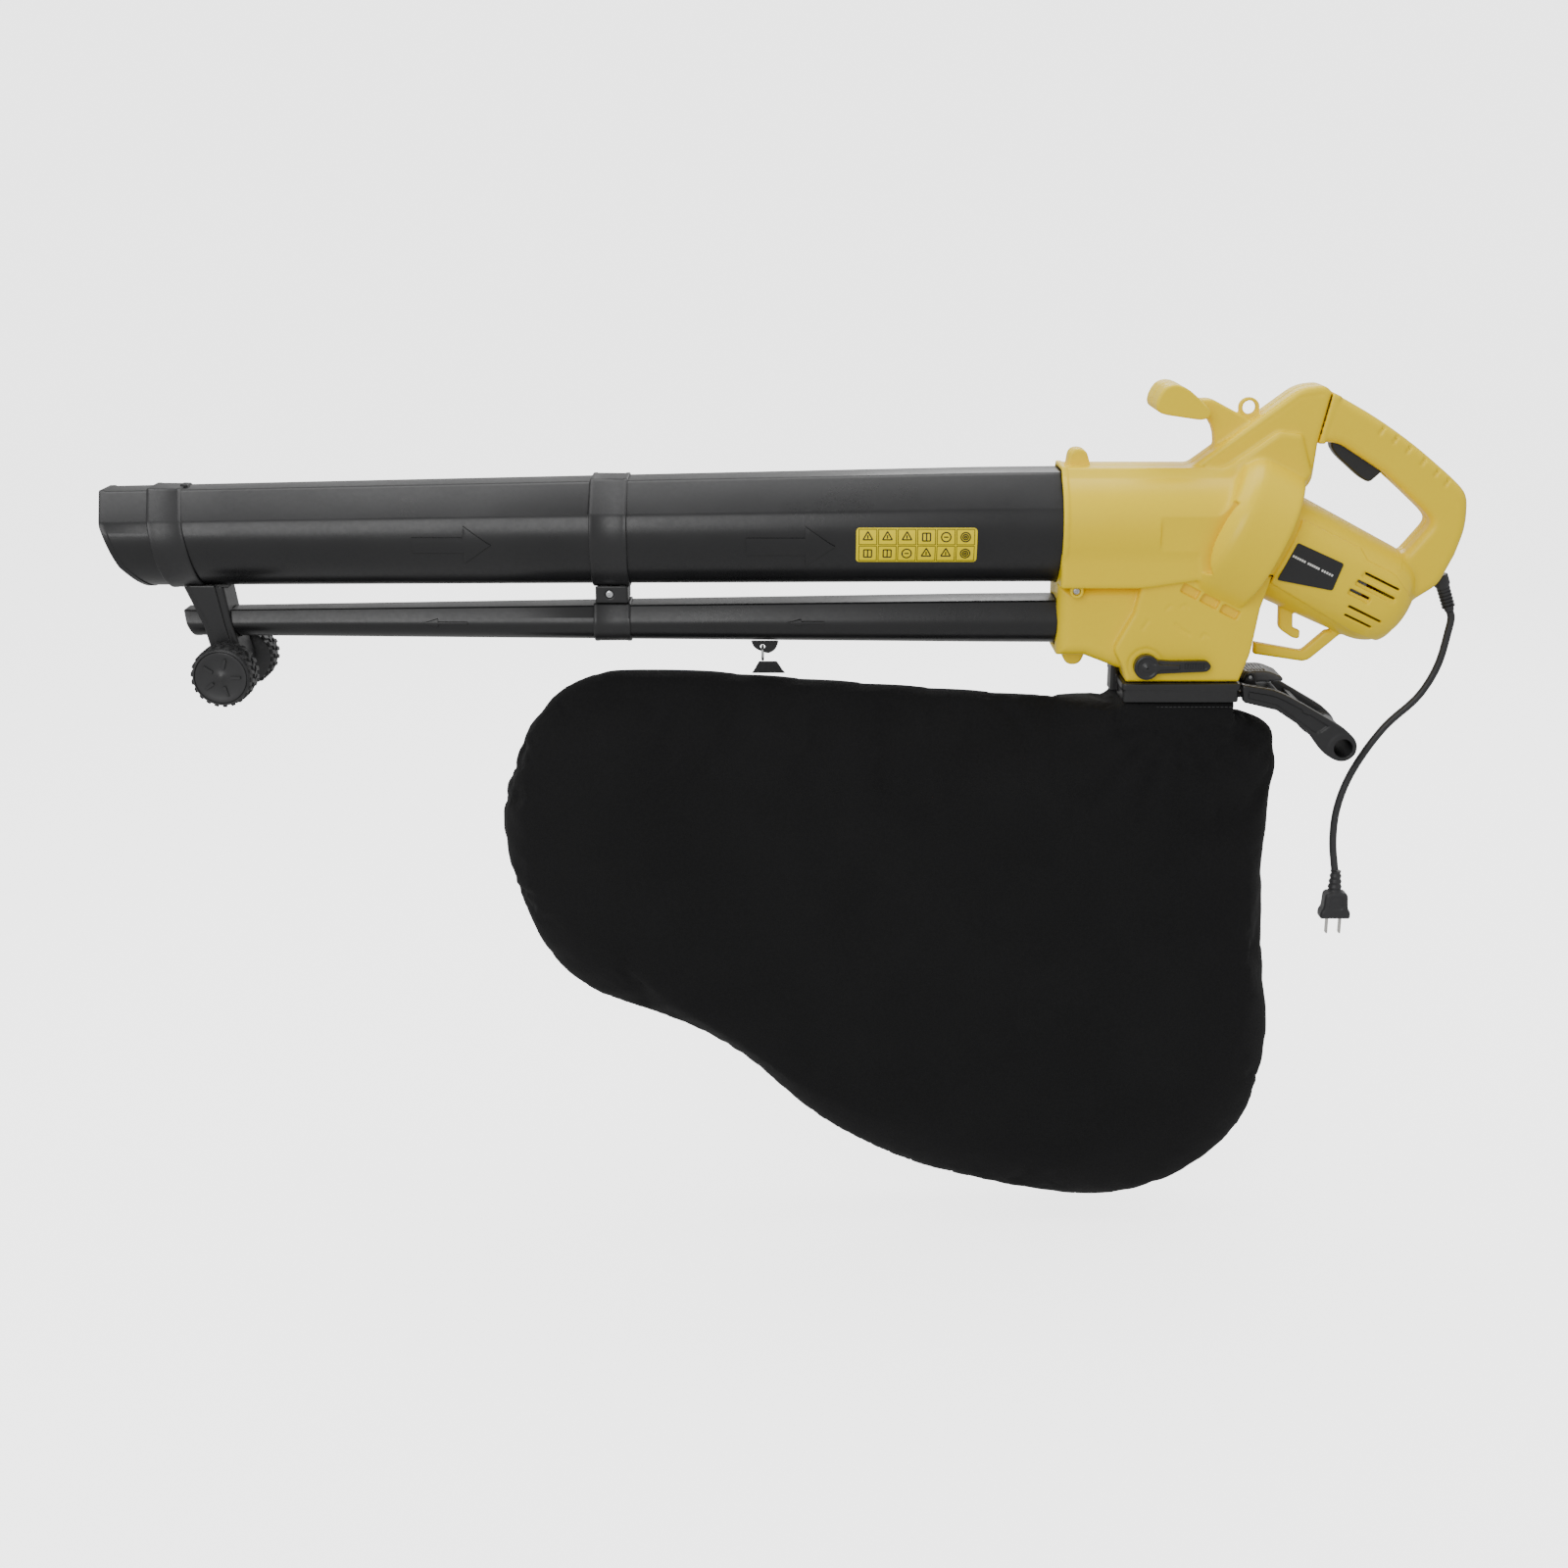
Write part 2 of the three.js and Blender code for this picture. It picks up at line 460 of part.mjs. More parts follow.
function armatureSolid() {
  const slots = [];
  for (let i = 0; i < 10; i++)
    slots.push(solid(box(50, 120, -1.6, 1.6, ARMATURE_R - 5, ARMATURE_R + 2).rotateX((i * Math.PI) / 5)));
  return cut(solid(ring(60, 110, SHAFT_R + GAP, ARMATURE_R, 30)), ...slots);
}

function statorSolid() {
  const body = solid(ring(STATOR.front, STATOR.back, STATOR.inner, STATOR.outer));
  const windows = [-1, 1].map((side) =>
    solid(box(STATOR.front - 1, STATOR.back + 1, -16, 16, side > 0 ? 20 : -33, side > 0 ? 33 : -20)));
  return cut(body, ...windows);
}

function addMotor() {
  const axis = new THREE.Group();
  axis.position.set(FAN.x, 0, FAN.z);
  axis.rotation.y = TILT;
  blower.add(axis);
  const plastic = { color: 0x2b2b2e, roughness: 0.5, metalness: 0 };
  const iron = { color: 0x6d6f73, roughness: 0.5, metalness: 1 };
  const copper = { color: 0xb46a3a, roughness: 0.35, metalness: 1 };
  const front = -IMPELLER.depth / 2;
  add("motor_shaft", rod(front - 12, BEARING.back + BEARING.width + 1, SHAFT_R), STEEL, axis);
  add("impeller", impellerSolid(), plastic, axis);
  const nut = ring(front - 6, front - GAP, SHAFT_R * 1.25, 8.5, 6);
  add("impeller_nut", nut, STEEL, axis);
  add("cooling_fan", coolingFanSolid(), plastic, axis);
  add("armature", armatureSolid(), iron, axis);
  add("commutator", ring(118, 134, SHAFT_R + GAP, 13, 24), copper, axis);
  add("stator", statorSolid(), iron, axis);
  const { r, width } = BEARING;
  add("front_bearing", ring(BEARING.front - width, BEARING.front, SHAFT_R + GAP, r, 16), STEEL, axis);
  add("rear_bearing", ring(BEARING.back + 3.3, BEARING.back + width + 1.6, SHAFT_R + GAP, r, 16), STEEL, axis);
  for (const [side, word] of [[-1, "near"], [1, "far"]]) {
    const y = [side * 13.4, side * 36].sort((a, b) => a - b);
    add("brush_" + word, box(121, 131, y[0], y[1], -4, 4), { ...plastic, color: 0x3a3a3a }, axis);
  }
}

// ---------- Switch, trigger and selector ----------
const springSolid = (x, z0, z1, r) => {
  const coil = new THREE.CylinderGeometry(r, r, z1 - z0, 16).rotateX(Math.PI / 2).translate(x, 0, (z0 + z1) / 2);
  const core = new THREE.CylinderGeometry(r - 1, r - 1, z1 - z0 + 2, 16)
    .rotateX(Math.PI / 2).translate(x, 0, (z0 + z1) / 2);
  return solid(coil).subtract(solid(core));
};

function addControls() {
  const { x, z, pin, half } = TRIGGER;
  const lever = outline([[-54, 39, 3], [-40, 42, 3], [-13, 22], [-4, 8], [-6, 0, 2], [-17, -10.5, 3],
    [-25, -6.5, 4], [-49, 14, 4], [-54.5, 22]]);
  const bore = solid(roundY(x, z, pin + RUNNING, -20, 20, 24));
  add("trigger", cut(solid(slab(lever, -half, half, 1.5)), bore), BLACK);
  add("trigger_pin", roundY(x, z, pin, -ARM_HALF + 2, ARM_HALF - 2, 20), STEEL);
  add("trigger_spring", springSolid(-30, 38.4, 46.4, 3.2), STEEL);
  add("switch_module", slab(outline([[2, 24], [30, 5], [22, -7], [6, 4]]), -12, 12), BLACK);
}

// The selector knob turns a flap that sends the air either to the blower tube or to the bag.
function addSelector() {
  const { hub, lever, shaft, flap } = SELECTOR;
  const pivot = new THREE.Group();
  pivot.position.set(SELECTOR.x, 0, SELECTOR.z);
  blower.add(pivot);
  const face = -BODY_HALF - 0.4;
  const grip = outline([[0, 6], [38, 4], [lever - 3, 6, 3], [lever, 0, 3], [lever - 3, -4, 3], [0, -6]]);
  const knob = join(solid(roundY(0, 0, hub, face - 11, face, 28)), solid(slab(grip, face - 10, face - 2, 2)));
  const square = solid(box(-2.5, 2.5, face - 6, face + 10, -2.5, 2.5));
  add("selector_knob", cut(knob, square), BLACK, pivot);
  const core = join(solid(roundY(0, 0, shaft, face + GAP, BODY_HALF - 1.6, 24)),
    solid(box(-2.2, 2.2, face - 5.6, face + 2, -2.2, 2.2)));
  add("selector_shaft", core, STEEL, pivot);
  const inside = BODY_HALF - WALL - 1;
  const plate = join(solid(roundY(0, 0, 7, -inside, inside, 20)), solid(box(3, flap, -inside, inside, -1.5, 1.5)));
  add("diverter_flap", cut(plate, solid(roundY(0, 0, shaft + GAP, -60, 60, 24))), BLACK, pivot);
}

// ---------- Bag, its frame and its grip ----------
function addBagFrame() {
  const { left, right, half, top, bottom } = FRAME;
  const collar = cut(solid(box(left, right, -half, half, bottom, top)),
    solid(box(left + 9, right - 9, -half + 9, half - 9, bottom - 5, top + 5)));
  const tongue = solid(box(right - 4, -92, -34, 34, -206, -200));
  const ear = outline([[-124, -201], [-112, -201], [-114, -184.5, 2], [-122, -184.5, 2]]);
  const ears = [-1, 1].map((side) => {
    const y = [side * (LATCH.half + 0.6), side * (LATCH.half + 4.6)].sort((a, b) => a - b);
    return solid(slab(ear, y[0], y[1]));
  });
  const hole = solid(roundY(LATCH.x, LATCH.z, LATCH.pin + GAP, -40, 40, 16));
  add("bag_frame", cut(join(collar, tongue, ...ears), hole), BLACK);
  add("latch_pin", roundY(LATCH.x, LATCH.z, LATCH.pin, -LATCH.half - 5, LATCH.half + 5, 20), STEEL);
  const button = outline([[-125, -192], [-122, -184, 3], [-100, -183.5, 4], [-86, -190, 3], [-86, -194],
    [-120, -195.5, 3]]);
  const bore = solid(roundY(LATCH.x, LATCH.z, LATCH.pin + RUNNING, -40, 40, 20));
  add("latch_button", cut(solid(slab(button, -LATCH.half, LATCH.half, 1)), bore), { ...BLACK, color: 0x4a4a4c });
  add("latch_spring", springSolid(-96, -199.6, -194.9, 3), STEEL);
}

function addBagHandle() {
  const { half, arm, x, z, r } = HANDLE;
  const side = outline([[-130.6, -191], [-96, -196.5, 10], [-70, -210.5], [-28, -235, 8], [-19, -250, 8],
    [-30, -265, 8], [-52, -256, 8], [-68, -234], [-97, -215], [-128, -207]]);
  const arms = [-1, 1].map((s) => solid(slab(side, s > 0 ? half - arm : -half, s > 0 ? half : -half + arm)));
  const grip = solid(roundY(x, z, r, -half, half, 28));
  const hollow = solid(roundY(x, z, r - 3.5, -half - 2, half + 2, 28));
  add("bag_handle", cut(join(...arms, grip), hollow,
    solid(box(-132, -90, -34.6, 34.6, -210, -180)),
    solid(box(-140, FRAME.right + GAP, -60, 60, -220, -180))), BLACK);
}

// The bag hangs from its frame and narrows to a seam all round; it is open only at its neck.
function bagOutline(inset) {
  const points = [[-829, -307, 90], [-824, -389, 60], [-800, -452, 70], [-752, -512, 80], [-672, -541, 90],
    [-598, -583, 90], [-522, -651, 60], [-423, -703, 90], [-266, -738, 90], [-168, -722, 80], [-90, -655, 90],
    [-66, -560, 90], [-80, -430, 60], [-84, -262, 20], [-92, -240, 12], [-131, -228, 12], [-240, -217, 20],
    [-383, -206, 60], [-548, -194, 60], [-700, -182, 60], [-760, -200, 50], [-800, -243, 60]];
  const centre = new THREE.Vector2(-400, -430);
  return outline(points.map(([x, z, radius]) => {
    const from = new THREE.Vector2(x, z).sub(centre);
    const to = centre.clone().add(from.setLength(from.length() - inset));
    return [to.x, to.y, radius];
  }));
}

// The bag's two sides swell from the seam; each step is [share of the thickness, distance in from the seam].
const SWELL = [[1, 100], [0.72, 38], [0.05, 0], [-0.05, 0], [-0.72, 38], [-1, 100]];

function pillow(inset, half) {
  const rings = SWELL.map(([share, within]) => bagOutline(inset + within).getPoints(1)
    .slice(0, -1).map((at) => new THREE.Vector3(at.x, share * half, at.y)));
  return loft(rings);
}

// A closed skin over rings that all have the same number of points.
function loft(rings) {
  const count = rings[0].length;
  const positions = rings.flat().flatMap((at) => at.toArray());
  const faces = [];
  for (let k = 0; k + 1 < rings.length; k++)
    for (let i = 0; i < count; i++) {
      const a = k * count + i;
      const b = k * count + ((i + 1) % count);
      faces.push(a, b, b + count, a, b + count, a + count);
    }
  const flat = (ring) => ring.map((at) => new THREE.Vector2(at.x, at.z));
  const last = count * (rings.length - 1);
  for (const [a, b, c] of THREE.ShapeUtils.triangulateShape(flat(rings[0]), [])) faces.push(a, c, b);
  for (const [a, b, c] of THREE.ShapeUtils.triangulateShape(flat(rings.at(-1)), []))
    faces.push(last + a, last + b, last + c);
  const geometry = new THREE.BufferGeometry();
  geometry.setAttribute("position", new THREE.Float32BufferAttribute(positions, 3));
  geometry.setIndex(faces);
  return geometry;
}

function addBag() {
  const { half, wall, neck } = BAG;
  const collar = (grow, z0, z1) => solid(box(FRAME.left + 3 - grow, FRAME.right - 3 + grow,
    -neck - grow, neck + grow, z0, z1));
  const outside = join(solid(pillow(0, half)), collar(0, -290, FRAME.bottom - GAP));
  const inside = join(solid(pillow(wall * 2, half - wall)), collar(-wall, -286, -200));
  const clear = solid(box(-250, -120, -80, 80, FRAME.bottom - GAP, -150));
  add("bag", cut(outside, inside, clear), { color: 0x262628, roughness: 0.95, metalness: 0 });
}

// A lug under the blower tube, a steel ring in it, and the bag's webbing tab hang the bag's front.
function addBagHanger() {
  const z = BLOWER.z - BLOWER.rz - 5; // the eye in the lug
  const lug = outline([[-584, z + 8], [-556, z + 8], [-560, z - 3, 3], [-567, z - 6.5, 2], [-580, z - 1, 3]]);
  add("bag_lug", cut(solid(slab(lug, -2.5, 2.5)), blowerBar(GAP, -640, -500),
    solid(roundY(-572, z, 2.6, -9, 9, 16))), BLACK);
  const link = new THREE.TorusGeometry(6.4, 1.3, 8, 18).rotateY(Math.PI / 2).translate(-572, 0, z - 6);
  add("bag_ring", link, STEEL);
  const tab = outline([[-576, z - 14.1], [-568, z - 14.1], [-550, -190.4], [-582, -189.6]]);
  add("bag_tab", slab(tab, -1.2, 1.2), BLACK);
}

// ---------- Cord, strain relief and plug ----------
function addCord() {
  const relief = new THREE.LatheGeometry([[0, 0], [4.3, 0], [4.6, 8], [6.4, 10], [6.8, 24], [7.4, 26],
    [7.4, 36], [0, 36]].map(([x, y]) => new THREE.Vector2(x, y)), 20)
    .rotateX(Math.PI / 2).rotateY(GLAND.turn).translate(69.5, 0, -131);
  add("strain_relief", relief, BLACK);
  const path = new THREE.CatmullRomCurve3(CORD.map(([x, z]) => new THREE.Vector3(x, 0, z)));
  const section = new THREE.Shape().absarc(0, 0, CORD_R, 0, 2 * Math.PI);
  add("cord", new THREE.ExtrudeGeometry(section, { steps: 24, extrudePath: path, curveSegments: 5 }), BLACK);
  const { x, top, neck, body, spacing, blade } = PLUG;
  const sleeve = new THREE.CylinderGeometry(7.5, 4.6, top - neck, 16).rotateX(-Math.PI / 2)
    .translate(x - 1.5, 0, (top + neck) / 2);
  const grip = slab(outline([[x - 12, neck + 2, 4], [x + 12, neck + 2, 4], [x + 12, neck - 12],
    [x + 15, neck - 15], [x + 15, body], [x - 15, body], [x - 15, neck - 15], [x - 12, neck - 12]]),
  -8.5, 8.5, 1);
  const pockets = [-1, 1].map((side) => {
    const at = x + (side * spacing) / 2;
    return solid(box(at - 0.8 - GAP, at + 0.8 + GAP, -3.2 - GAP, 3.2 + GAP, body - 3, body + 8));
  });
  add("plug_body", cut(join(solid(grip), solid(sleeve)), ...pockets), BLACK);
  for (const [side, word] of [[-1, "left"], [1, "right"]]) {
    const at = x + (side * spacing) / 2;
    add("plug_blade_" + word, box(at - 0.8, at + 0.8, -3.2, 3.2, body - blade, body + 7), STEEL);
  }
}

addHousings();
addTubes();
addCollars();
addWheels();
addMotor();
addControls();
addSelector();
addBagFrame();
addBagHandle();
addBag();
addBagHanger();
addCord();

export default blower;
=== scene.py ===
import math
import bmesh
import bpy
import numpy as np
from mathutils import Matrix, Vector


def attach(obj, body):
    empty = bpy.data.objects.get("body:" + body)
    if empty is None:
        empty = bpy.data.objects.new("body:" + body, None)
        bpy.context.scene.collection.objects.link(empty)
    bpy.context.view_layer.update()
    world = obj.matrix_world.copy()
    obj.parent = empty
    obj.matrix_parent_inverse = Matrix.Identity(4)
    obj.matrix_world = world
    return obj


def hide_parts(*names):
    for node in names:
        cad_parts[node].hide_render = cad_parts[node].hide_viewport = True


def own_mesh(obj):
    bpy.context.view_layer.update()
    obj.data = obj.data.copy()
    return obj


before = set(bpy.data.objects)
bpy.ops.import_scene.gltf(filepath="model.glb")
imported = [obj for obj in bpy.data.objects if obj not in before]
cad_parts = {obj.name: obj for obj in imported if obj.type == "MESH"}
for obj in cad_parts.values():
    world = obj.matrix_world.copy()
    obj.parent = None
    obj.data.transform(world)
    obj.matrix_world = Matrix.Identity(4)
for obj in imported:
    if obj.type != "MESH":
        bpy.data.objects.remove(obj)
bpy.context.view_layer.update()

# ---- Viewpoint ----
# A person's view of the machine held level: from its near side, 16.5 degrees above it and two
# metres away, aimed between nozzle and grip so that the bag and the whole cord are in view.
view_centre = Vector((-0.552, 0.0, -0.2996))
view_distance = 2.0
view_height = math.radians(16.5)
viewpoint_lens = bpy.data.cameras.new("viewpoint")
viewpoint_lens.lens = 48.0
viewpoint_lens.sensor_width = 36.0
viewpoint = bpy.data.objects.new("viewpoint", viewpoint_lens)
bpy.context.collection.objects.link(viewpoint)
from_centre = Vector((0.0, -math.cos(view_height), math.sin(view_height)))
viewpoint.location = view_centre + from_centre * view_distance
viewpoint.rotation_euler = (-from_centre).to_track_quat("-Z", "Y").to_euler()
bpy.context.scene.camera = viewpoint


# ---- Mains cord ----
# A round two-core lead in black PVC. It leaves the ribbed sleeve at the foot of the rear grip and
# hangs in one lazy S down to its plug; it is held by the sleeve alone.
class Wire:
    """A value on its way through a finish; ordinary arithmetic on it adds Math nodes."""

    def __init__(self, finish, socket):
        self.finish, self.socket = finish, socket

    def maths(self, operation, *values):
        return self.finish.node("ShaderNodeMath", {"operation": operation}, values)

    def __add__(self, other):
        return self.maths("ADD", self, other)

    def __sub__(self, other):
        return self.maths("SUBTRACT", self, other)

    def __mul__(self, other):
        return self.maths("MULTIPLY", self, other)

    __radd__ = __add__
    __rmul__ = __mul__


class Finish:
    """One material: a Principled surface and the nodes that vary it."""

    def __init__(self, name, **surface):
        self.material = bpy.data.materials.new(name)
        self.material.use_nodes = True
        self.tree = self.material.node_tree
        self.surface = self.tree.nodes["Principled BSDF"]
        self.set(**surface)

    def plug(self, socket, value):
        if isinstance(value, Wire):
            self.tree.links.new(value.socket, socket)
        elif isinstance(value, tuple) and socket.type == "RGBA":
            socket.default_value = (*value, 1.0)
        else:
            socket.default_value = value

    def set(self, **sockets):
        for name, value in sockets.items():
            self.plug(self.surface.inputs[name.replace("_", " ")], value)

    def node(self, kind, settings=None, inputs=(), output=0):
        made = self.tree.nodes.new(kind)
        for name, value in (settings or {}).items():
            setattr(made, name, value)
        for name, value in inputs.items() if isinstance(inputs, dict) else enumerate(inputs):
            self.plug(made.inputs[name], value)
        return Wire(self, made.outputs[output])

    def place(self):
        return self.node("ShaderNodeTexCoord", output="Object")

    def wave(self, angle):
        return self.node("ShaderNodeMath", {"operation": "SINE"}, (angle,))

    def blotches(self, size, detail=2.0):
        """Soft noise from 0 to 1 with features of about that size, in metres."""
        return self.node("ShaderNodeTexNoise", {},
                         {"Vector": self.place(), "Scale": 1.0 / size, "Detail": detail})

    def clipped(self, value, low, high):
        """The value stretched so that low becomes 0 and high becomes 1."""
        return self.node("ShaderNodeMapRange", {"clamp": True},
                         {"Value": value, "From Min": low, "From Max": high})

    def tint(self, share, first, second):
        return self.node("ShaderNodeMix", {"data_type": "RGBA"}, {0: share, 6: first, 7: second}, output=2)

    def bump(self, height, depth, under=None):
        sockets = {"Height": height, "Distance": depth, "Strength": 1.0}
        if under is not None:
            sockets["Normal"] = under
        return self.node("ShaderNodeBump", {}, sockets)


def moulded(name, colour, paler, roughness, grain, grain_depth, **surface):
    """Injection-moulded plastic: faint flow clouds in its colour, spark-eroded grain, hand polish."""
    made = Finish(name, **surface)
    clouds = made.clipped(made.blotches(0.09, 3.0), 0.3, 0.7)
    specks = made.clipped(made.blotches(0.004, 2.0), 0.35, 0.65)
    made.set(Base_Color=made.tint(clouds * 0.7 + specks * 0.3, colour, paler),
             Roughness=roughness + 0.10 * clouds - 0.05 * specks)
    skin = made.bump(made.blotches(grain, 2.0), grain_depth)
    made.set(Normal=made.bump(made.blotches(0.05, 1.0), 0.00025, skin))
    return made.material


def mesh_object(name, points, faces, smooth=True):
    """A new object from points in millimetres, its faces as given."""
    mesh = bpy.data.meshes.new(name)
    mesh.from_pydata([tuple(p) for p in np.asarray(points, float) * 0.001], [], faces)
    mesh.validate()
    mesh.polygons.foreach_set("use_smooth", [smooth] * len(mesh.polygons))
    made = bpy.data.objects.new(name, mesh)
    bpy.context.collection.objects.link(made)
    return made


def volume_of(mesh):
    """Signed volume; negative where the faces point inwards."""
    mesh.calc_loop_triangles()
    spots = np.empty(len(mesh.vertices) * 3)
    mesh.vertices.foreach_get("co", spots)
    corners = np.empty(len(mesh.loop_triangles) * 3, int)
    mesh.loop_triangles.foreach_get("vertices", corners)
    a, b, c = spots.reshape(-1, 3)[corners.reshape(-1, 3)].transpose(1, 0, 2)
    return float(np.einsum("ij,ij->i", a, np.cross(b, c)).sum() / 6)


def loft(name, rings, closed=False):
    """A skin over rings of points, each ring as long as the next; its ends are capped, or it
    returns to the first ring when closed."""
    rings = [list(map(tuple, ring)) for ring in rings]
    count, faces = len(rings[0]), []
    for k in range(len(rings) if closed else len(rings) - 1):
        here, there = k * count, ((k + 1) % len(rings)) * count
        for i in range(count):
            j = (i + 1) % count
            faces.append((here + i, here + j, there + j, there + i))
    if not closed:
        faces += [tuple(range(count))[::-1], tuple(range(len(rings) * count - count, len(rings) * count))]
    made = mesh_object(name, [p for ring in rings for p in ring], faces)
    if volume_of(made.data) < 0:
        made.data.flip_normals()
    made.data.set_sharp_from_angle(angle=math.radians(38))
    return made


def settle(piece, body, finish, slot, *stands_for):
    """Gives a piece its finish, the body that it rides on and the CAD nodes that it stands for."""
    piece.data.materials.clear()
    piece.data.materials.append(finish)
    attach(piece, body)
    if stands_for:
        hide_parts(*stands_for)
    return piece


cord_diameter = 0.007
cord_stations = [(69.7, -131.5), (71.4, -137), (69.6, -152), (62.6, -184.2), (47.5, -212.7), (19.3, -241.4),
                 (-0.7, -270.4), (-14.8, -299.6), (-22, -329), (-22.6, -358.7), (-18.8, -386)]


def through(stations, between):
    """Points on a centripetal Catmull-Rom curve through the stations."""
    stations = [Vector((x, 0, z)) * 0.001 for x, z in stations]
    ends = [2 * stations[0] - stations[1], *stations, 2 * stations[-1] - stations[-2]]
    points = []
    for p0, p1, p2, p3 in zip(ends, ends[1:], ends[2:], ends[3:]):
        t1 = (p1 - p0).length ** 0.5
        t2 = t1 + (p2 - p1).length ** 0.5
        t3 = t2 + (p3 - p2).length ** 0.5
        for step in range(between):
            t = t1 + (t2 - t1) * step / between
            a = p0 * ((t1 - t) / t1) + p1 * (t / t1)
            b = p1 * ((t2 - t) / (t2 - t1)) + p2 * ((t - t1) / (t2 - t1))
            c = p2 * ((t3 - t) / (t3 - t2)) + p3 * ((t - t2) / (t3 - t2))
            d = a * ((t2 - t) / t2) + b * (t / t2)
            e = b * ((t3 - t) / (t3 - t1)) + c * ((t - t1) / (t3 - t1))
            points.append(d * ((t2 - t) / (t2 - t1)) + e * ((t - t1) / (t2 - t1)))
    return [*points, stations[-1]]


cord_route = through(cord_stations, 3)
cord_length = sum((b - a).length for a, b in zip(cord_route, cord_route[1:]))
cord_curve = bpy.data.curves.new("mains_cord", "CURVE")
cord_curve.dimensions = "3D"
cord_curve.bevel_depth = cord_diameter / 2
cord_curve.bevel_resolution = 5
cord_curve.resolution_u = 8
cord_curve.use_fill_caps = True
cord_spline = cord_curve.splines.new("BEZIER")
cord_spline.bezier_points.add(len(cord_route) - 1)
for knot, spot in zip(cord_spline.bezier_points, cord_route):
    knot.co = spot
    knot.handle_left_type = knot.handle_right_type = "AUTO"
mains_cord = bpy.data.objects.new("mains_cord", cord_curve)
bpy.context.collection.objects.link(mains_cord)
cord_pvc = moulded("cord_pvc", (0.020, 0.020, 0.022), (0.032, 0.032, 0.034), 0.42, 0.0012, 0.00006)
settle(mains_cord, "root", cord_pvc, "cord_rubber", "cord")


# ---- Cord sleeve ----
# A bend relief moulded in soft PVC round the cord: a stem with a stack of thin ribs that lets the
# cord flex, and a wide foot that is trapped in the seat of the two rear housing halves.
def node_tree(name, inputs):
    """An empty geometry tree with named inputs, and a dictionary of where each is plugged in."""
    tree = bpy.data.node_groups.new(name, "GeometryNodeTree")
    tree.interface.new_socket("Geometry", in_out="INPUT", socket_type="NodeSocketGeometry")
    tree.interface.new_socket("Geometry", in_out="OUTPUT", socket_type="NodeSocketGeometry")
    for label, kind in inputs.items():
        tree.interface.new_socket(label, in_out="INPUT", socket_type="NodeSocket" + kind)
    return tree


def chain(tree, kind, settings=None, inputs=None, output=0):
    """A node in a geometry tree, its settings first and then its sockets; returns its output."""
    made = tree.nodes.new(kind)
    for name, value in (settings or {}).items():
        setattr(made, name, value)
    for name, value in (inputs or {}).items():
        if isinstance(value, bpy.types.NodeSocket):
            tree.links.new(value, made.inputs[name])
        else:
            made.inputs[name].default_value = value
    return made.outputs[output]


def grown(name, tree, **sizes):
    """Runs a geometry tree with these named sizes and returns its result as a plain object."""
    holder = bpy.data.objects.new(name, bpy.data.meshes.new(name + "_seed"))
    bpy.context.collection.objects.link(holder)
    run = holder.modifiers.new("pattern", "NODES")
    run.node_group = tree
    for item in tree.interface.items_tree:
        if item.in_out == "INPUT" and item.name.replace(" ", "_") in sizes:
            run[item.identifier] = sizes[item.name.replace(" ", "_")]
    evaluated = holder.evaluated_get(bpy.context.evaluated_depsgraph_get())
    mesh = bpy.data.meshes.new_from_object(evaluated)
    holder.modifiers.remove(run)
    holder.data = mesh
    mesh.name = name
    mesh.polygons.foreach_set("use_smooth", [True] * len(mesh.polygons))
    mesh.set_sharp_from_angle(angle=math.radians(38))
    return holder


def finish_tree(tree, instances, source):
    """The end of every pattern: real geometry in one finish."""
    real = chain(tree, "GeometryNodeRealizeInstances", inputs={"Geometry": instances})
    painted = chain(tree, "GeometryNodeSetMaterial", inputs={"Geometry": real, "Material": source["Finish"]})
    out = tree.nodes.new("NodeGroupOutput")
    tree.links.new(painted, out.inputs[0])
    return tree


def row_tree():
    """Copies of one item at even steps from a start to an end, all turned the same way."""
    tree = node_tree("row", {"Item": "Object", "Start": "Vector", "End": "Vector", "Count": "Int",
                             "Turn": "Rotation", "Finish": "Material"})
    source = tree.nodes.new("NodeGroupInput").outputs
    line = chain(tree, "GeometryNodeMeshLine", {"mode": "END_POINTS"},
                 {"Count": source["Count"], "Start Location": source["Start"], "Offset": source["End"]})
    item = chain(tree, "GeometryNodeObjectInfo", {}, {"Object": source["Item"]}, "Geometry")
    copies = chain(tree, "GeometryNodeInstanceOnPoints", {},
                   {"Points": line, "Instance": item, "Rotation": source["Turn"]})
    return finish_tree(tree, copies, source)


def item_of(piece):
    """Takes a modelled piece out of the scene so that only its copies are seen."""
    for home in list(piece.users_collection):
        home.objects.unlink(piece)
    return piece


def circle(radius, count=40, centre=(0, 0, 0)):
    angles = np.linspace(0, 2 * math.pi, count, endpoint=False)
    return [(centre[0] + radius * math.cos(a), centre[1] + radius * math.sin(a), centre[2])
            for a in angles]


row = row_tree()
sleeve_turn = Matrix.Rotation(-0.35, 4, "Y")
sleeve_tip = Vector((69.5, 0, -131))
sleeve_profile = [(0.1, 3.7), (0.2, 4.1), (1.0, 4.4), (9, 4.9), (25, 6.2), (26.5, 7.3),
                  (35.2, 7.3), (36, 6.6)]
sleeve = loft("cord_sleeve", [circle(r, 36, (0, 0, z)) for z, r in sleeve_profile])
sleeve.data.transform(Matrix.Translation(sleeve_tip * 0.001) @ sleeve_turn)
settle(sleeve, "root", cord_pvc, "cord_rubber", "strain_relief")

